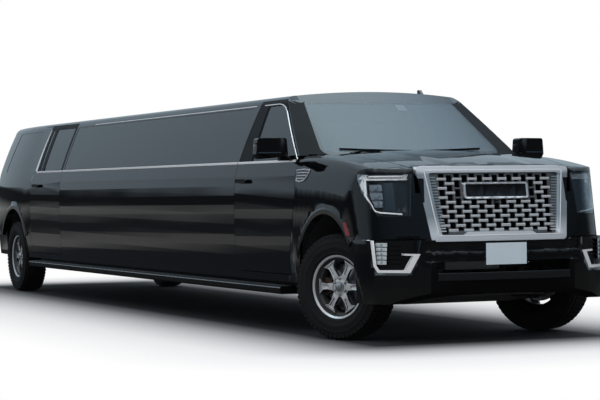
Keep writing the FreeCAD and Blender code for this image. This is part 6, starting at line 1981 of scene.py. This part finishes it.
@dataclass
class Studio:
    """Camera, white surroundings, floor with a painted shadow under the car, and lamps; reflections see tones
    set by height.
    """

    place: Point = (18.163, -7.170, 1.138)
    yaw: float = 156.38
    pitch: float = -0.37
    roll: float = -0.65
    lens: float = 119.04
    shift: Pair = (-1 / 600, 2 / 600)
    floor_half: Pair = (34.0, 26.0)
    floor_colour: Colour = (0.86, 0.86, 0.87)
    # Painted shadow under the car: its colour, the footprint it fills, how far it fades and the fade's curve.
    painted_shadow_colour: Colour = (0.035, 0.035, 0.037)
    painted_shadow_half: Pair = (5.30, 0.95)
    painted_shadow_reach: float = 1.2
    painted_shadow_power: float = 0.8
    glow_from: float = 0.25
    glow_to: float = 2.2
    sky: tuple[tuple[float, Colour], ...] = (
        (0.0, (0.020, 0.021, 0.022)), (0.445, (0.035, 0.042, 0.050)), (0.456, (0.040, 0.044, 0.050)),
        (0.459, (0.26, 0.265, 0.255)), (0.470, (0.22, 0.225, 0.215)), (0.4735, (0.035, 0.040, 0.044)),
        (0.486, (0.035, 0.040, 0.044)), (0.4885, (0.14, 0.15, 0.15)), (0.498, (0.33, 0.345, 0.34)),
        (0.5015, (0.022, 0.025, 0.028)), (0.5145, (0.022, 0.025, 0.028)), (0.518, (0.36, 0.44, 0.50)),
        (0.60, (0.42, 0.52, 0.60)), (0.66, (0.46, 0.57, 0.66)), (0.77, (0.40, 0.48, 0.56)),
        (0.83, (0.60, 0.75, 0.88)), (0.875, (1.3, 1.7, 2.05)), (0.91, (1.9, 2.4, 2.75)),
        (0.95, (2.5, 3.1, 3.4)), (0.985, (1.2, 1.4, 1.5)), (1.0, (0.9, 1.0, 1.05)))
    front_sky: tuple[tuple[float, Colour], ...] = (
        (0.0, (0.045, 0.047, 0.050)), (0.44, (0.075, 0.076, 0.078)), (0.49, (0.10, 0.10, 0.095)),
        (0.50, (0.055, 0.060, 0.065)), (0.60, (0.050, 0.065, 0.080)), (0.655, (0.14, 0.19, 0.24)),
        (0.70, (0.32, 0.41, 0.49)), (0.80, (0.80, 0.90, 0.97)), (1.0, (0.95, 0.98, 1.0)))
    ambient: Colour = (0.62, 0.64, 0.67)
    front_turn: float = 4.0

    def build(self) -> None:
        """Makes the surroundings."""
        self.camera()
        self.world()
        self.floor()
        self.lamp("key", (9.0, -6.0, 6.5), (3.0, 0.0, 0.6), 260.0, (6.0, 3.0))
        self.lamp("fill", (-2.0, 8.0, 6.0), (0.0, 0.0, 0.6), 200.0, (9.0, 3.0))
        bpy.context.scene.view_settings.view_transform = "Standard"

    def camera(self) -> None:
        """Sets the camera at the photograph's place and angle."""
        yaw, pitch, roll = (math.radians(angle) for angle in (self.yaw, self.pitch, self.roll))
        ahead = Vector((math.cos(yaw) * math.cos(pitch), math.sin(yaw) * math.cos(pitch), math.sin(pitch)))
        right = ahead.cross(Vector((0, 0, 1))).normalized()
        up = right.cross(ahead)
        rolled_right = math.cos(roll) * right + math.sin(roll) * up
        rolled_up = -math.sin(roll) * right + math.cos(roll) * up
        data = bpy.data.cameras.new("camera")
        data.lens, data.sensor_width = self.lens, 36.0
        data.shift_x, data.shift_y = self.shift
        data.clip_start, data.clip_end = 0.1, 200.0
        camera = added("camera", data)
        rotation = Matrix((rolled_right, rolled_up, -ahead)).transposed()
        camera.matrix_world = Matrix.Translation(self.place) @ rotation.to_4x4()
        bpy.context.scene.camera = camera

    def world(self) -> None:
        """White round the camera; tones by height in reflections, one row beside and one ahead."""
        world = bpy.data.worlds.new("studio")
        world.use_nodes = True
        bpy.context.scene.world = world
        shader = Shader(world.node_tree)
        direction = shader.node("ShaderNodeSeparateXYZ", None,
                                {0: shader.node("ShaderNodeTexCoord").outputs["Generated"]})
        level = Signal(shader, direction.outputs[2]) * 0.5 + 0.5
        frontal = (Signal(shader, direction.outputs[0]) * self.front_turn + 0.5).clamped()
        mirrored = shader.blend(frontal, shader.ramp(level, self.sky), shader.ramp(level, self.front_sky))
        light = shader.blend(shader.rays("Glossy"), self.ambient, mirrored)
        colour = shader.blend(shader.seen(), light, (1.0, 1.0, 1.0))
        background = shader.node("ShaderNodeBackground", None, {"Color": colour, "Strength": 1.0})
        shader.node("ShaderNodeOutputWorld", None, {"Surface": background.outputs[0]})

    def floor(self) -> None:
        """A pale floor with a painted shadow under the car and white further out, that reflections don't see.
        """
        shader = SurfaceShader("pale_floor")
        east, north, _ = shader.axes()
        along, aside = ((part.apply("ABSOLUTE") - half).apply("MAXIMUM", 0.0)
                        for part, half in zip((east, north), self.painted_shadow_half))
        distance = (along * along + aside * aside).apply("SQRT")
        # Painted shadow: the floor's colour goes dark under the car and fades to pale over the reach.
        near = (distance / self.painted_shadow_reach).clamped().apply("POWER", self.painted_shadow_power)
        far = ((distance - self.glow_from) / (self.glow_to - self.glow_from)).clamped()
        shader.dress(Base_Color=shader.blend(near, self.painted_shadow_colour, self.floor_colour), Roughness=0.9,
                     Specular_IOR_Level=0.2)
        white = shader.node("ShaderNodeEmission", None, {"Color": (1.0, 1.0, 1.0), "Strength": 1.0})
        clear = shader.node("ShaderNodeBsdfTransparent")
        shown = shader.node("ShaderNodeMixShader", None,
                            {0: far * shader.seen(), 1: shader.surface.outputs[0], 2: white.outputs[0]})
        whole = shader.node("ShaderNodeMixShader", None,
                            {0: shader.rays("Glossy"), 1: shown.outputs[0], 2: clear.outputs[0]})
        shader.feed(shader.output.inputs["Surface"], whole.outputs[0])
        x, y = self.floor_half
        mesh = bpy.data.meshes.new("floor")
        mesh.from_pydata([(-x, -y, 0), (x, -y, 0), (x, y, 0), (-x, y, 0)], [], [(0, 1, 2, 3)])
        mesh.materials.append(shader.material)
        added("floor", mesh)

    def lamp(self, name: str, place: Point, target: Point, power: float, size: Pair) -> None:
        """Adds a soft rectangular lamp that reflections don't see.

        Args:
            name: The lamp's name.
            place: Where it hangs.
            target: Where it points.
            power: Its power in watts.
            size: Its two sides in metres.
        """
        data = bpy.data.lights.new(name, "AREA")
        data.shape = "RECTANGLE"
        data.size, data.size_y = size
        data.energy = power
        lamp = added(name, data)
        lamp.location = place
        lamp.visible_glossy = False
        lamp.rotation_euler = (Vector(target) - Vector(place)).to_track_quat("-Z", "Y").to_euler()


def main() -> None:
    """Builds the looks of the whole car."""
    logging.basicConfig(level=logging.INFO, format="%(name)s %(message)s")
    model = Model(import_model(), Workshop())
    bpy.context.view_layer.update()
    for part in (Bodywork, Brightwork, SideTrim, Glazing, FrontEnd, TailEnd, Underside, Cabin):
        part(model).build()
    for end in ("front", "rear"):
        for _, side in SIDES:
            Corner(model, end, side).build()
    Studio().build()


if __name__ == "__main__":
    main()
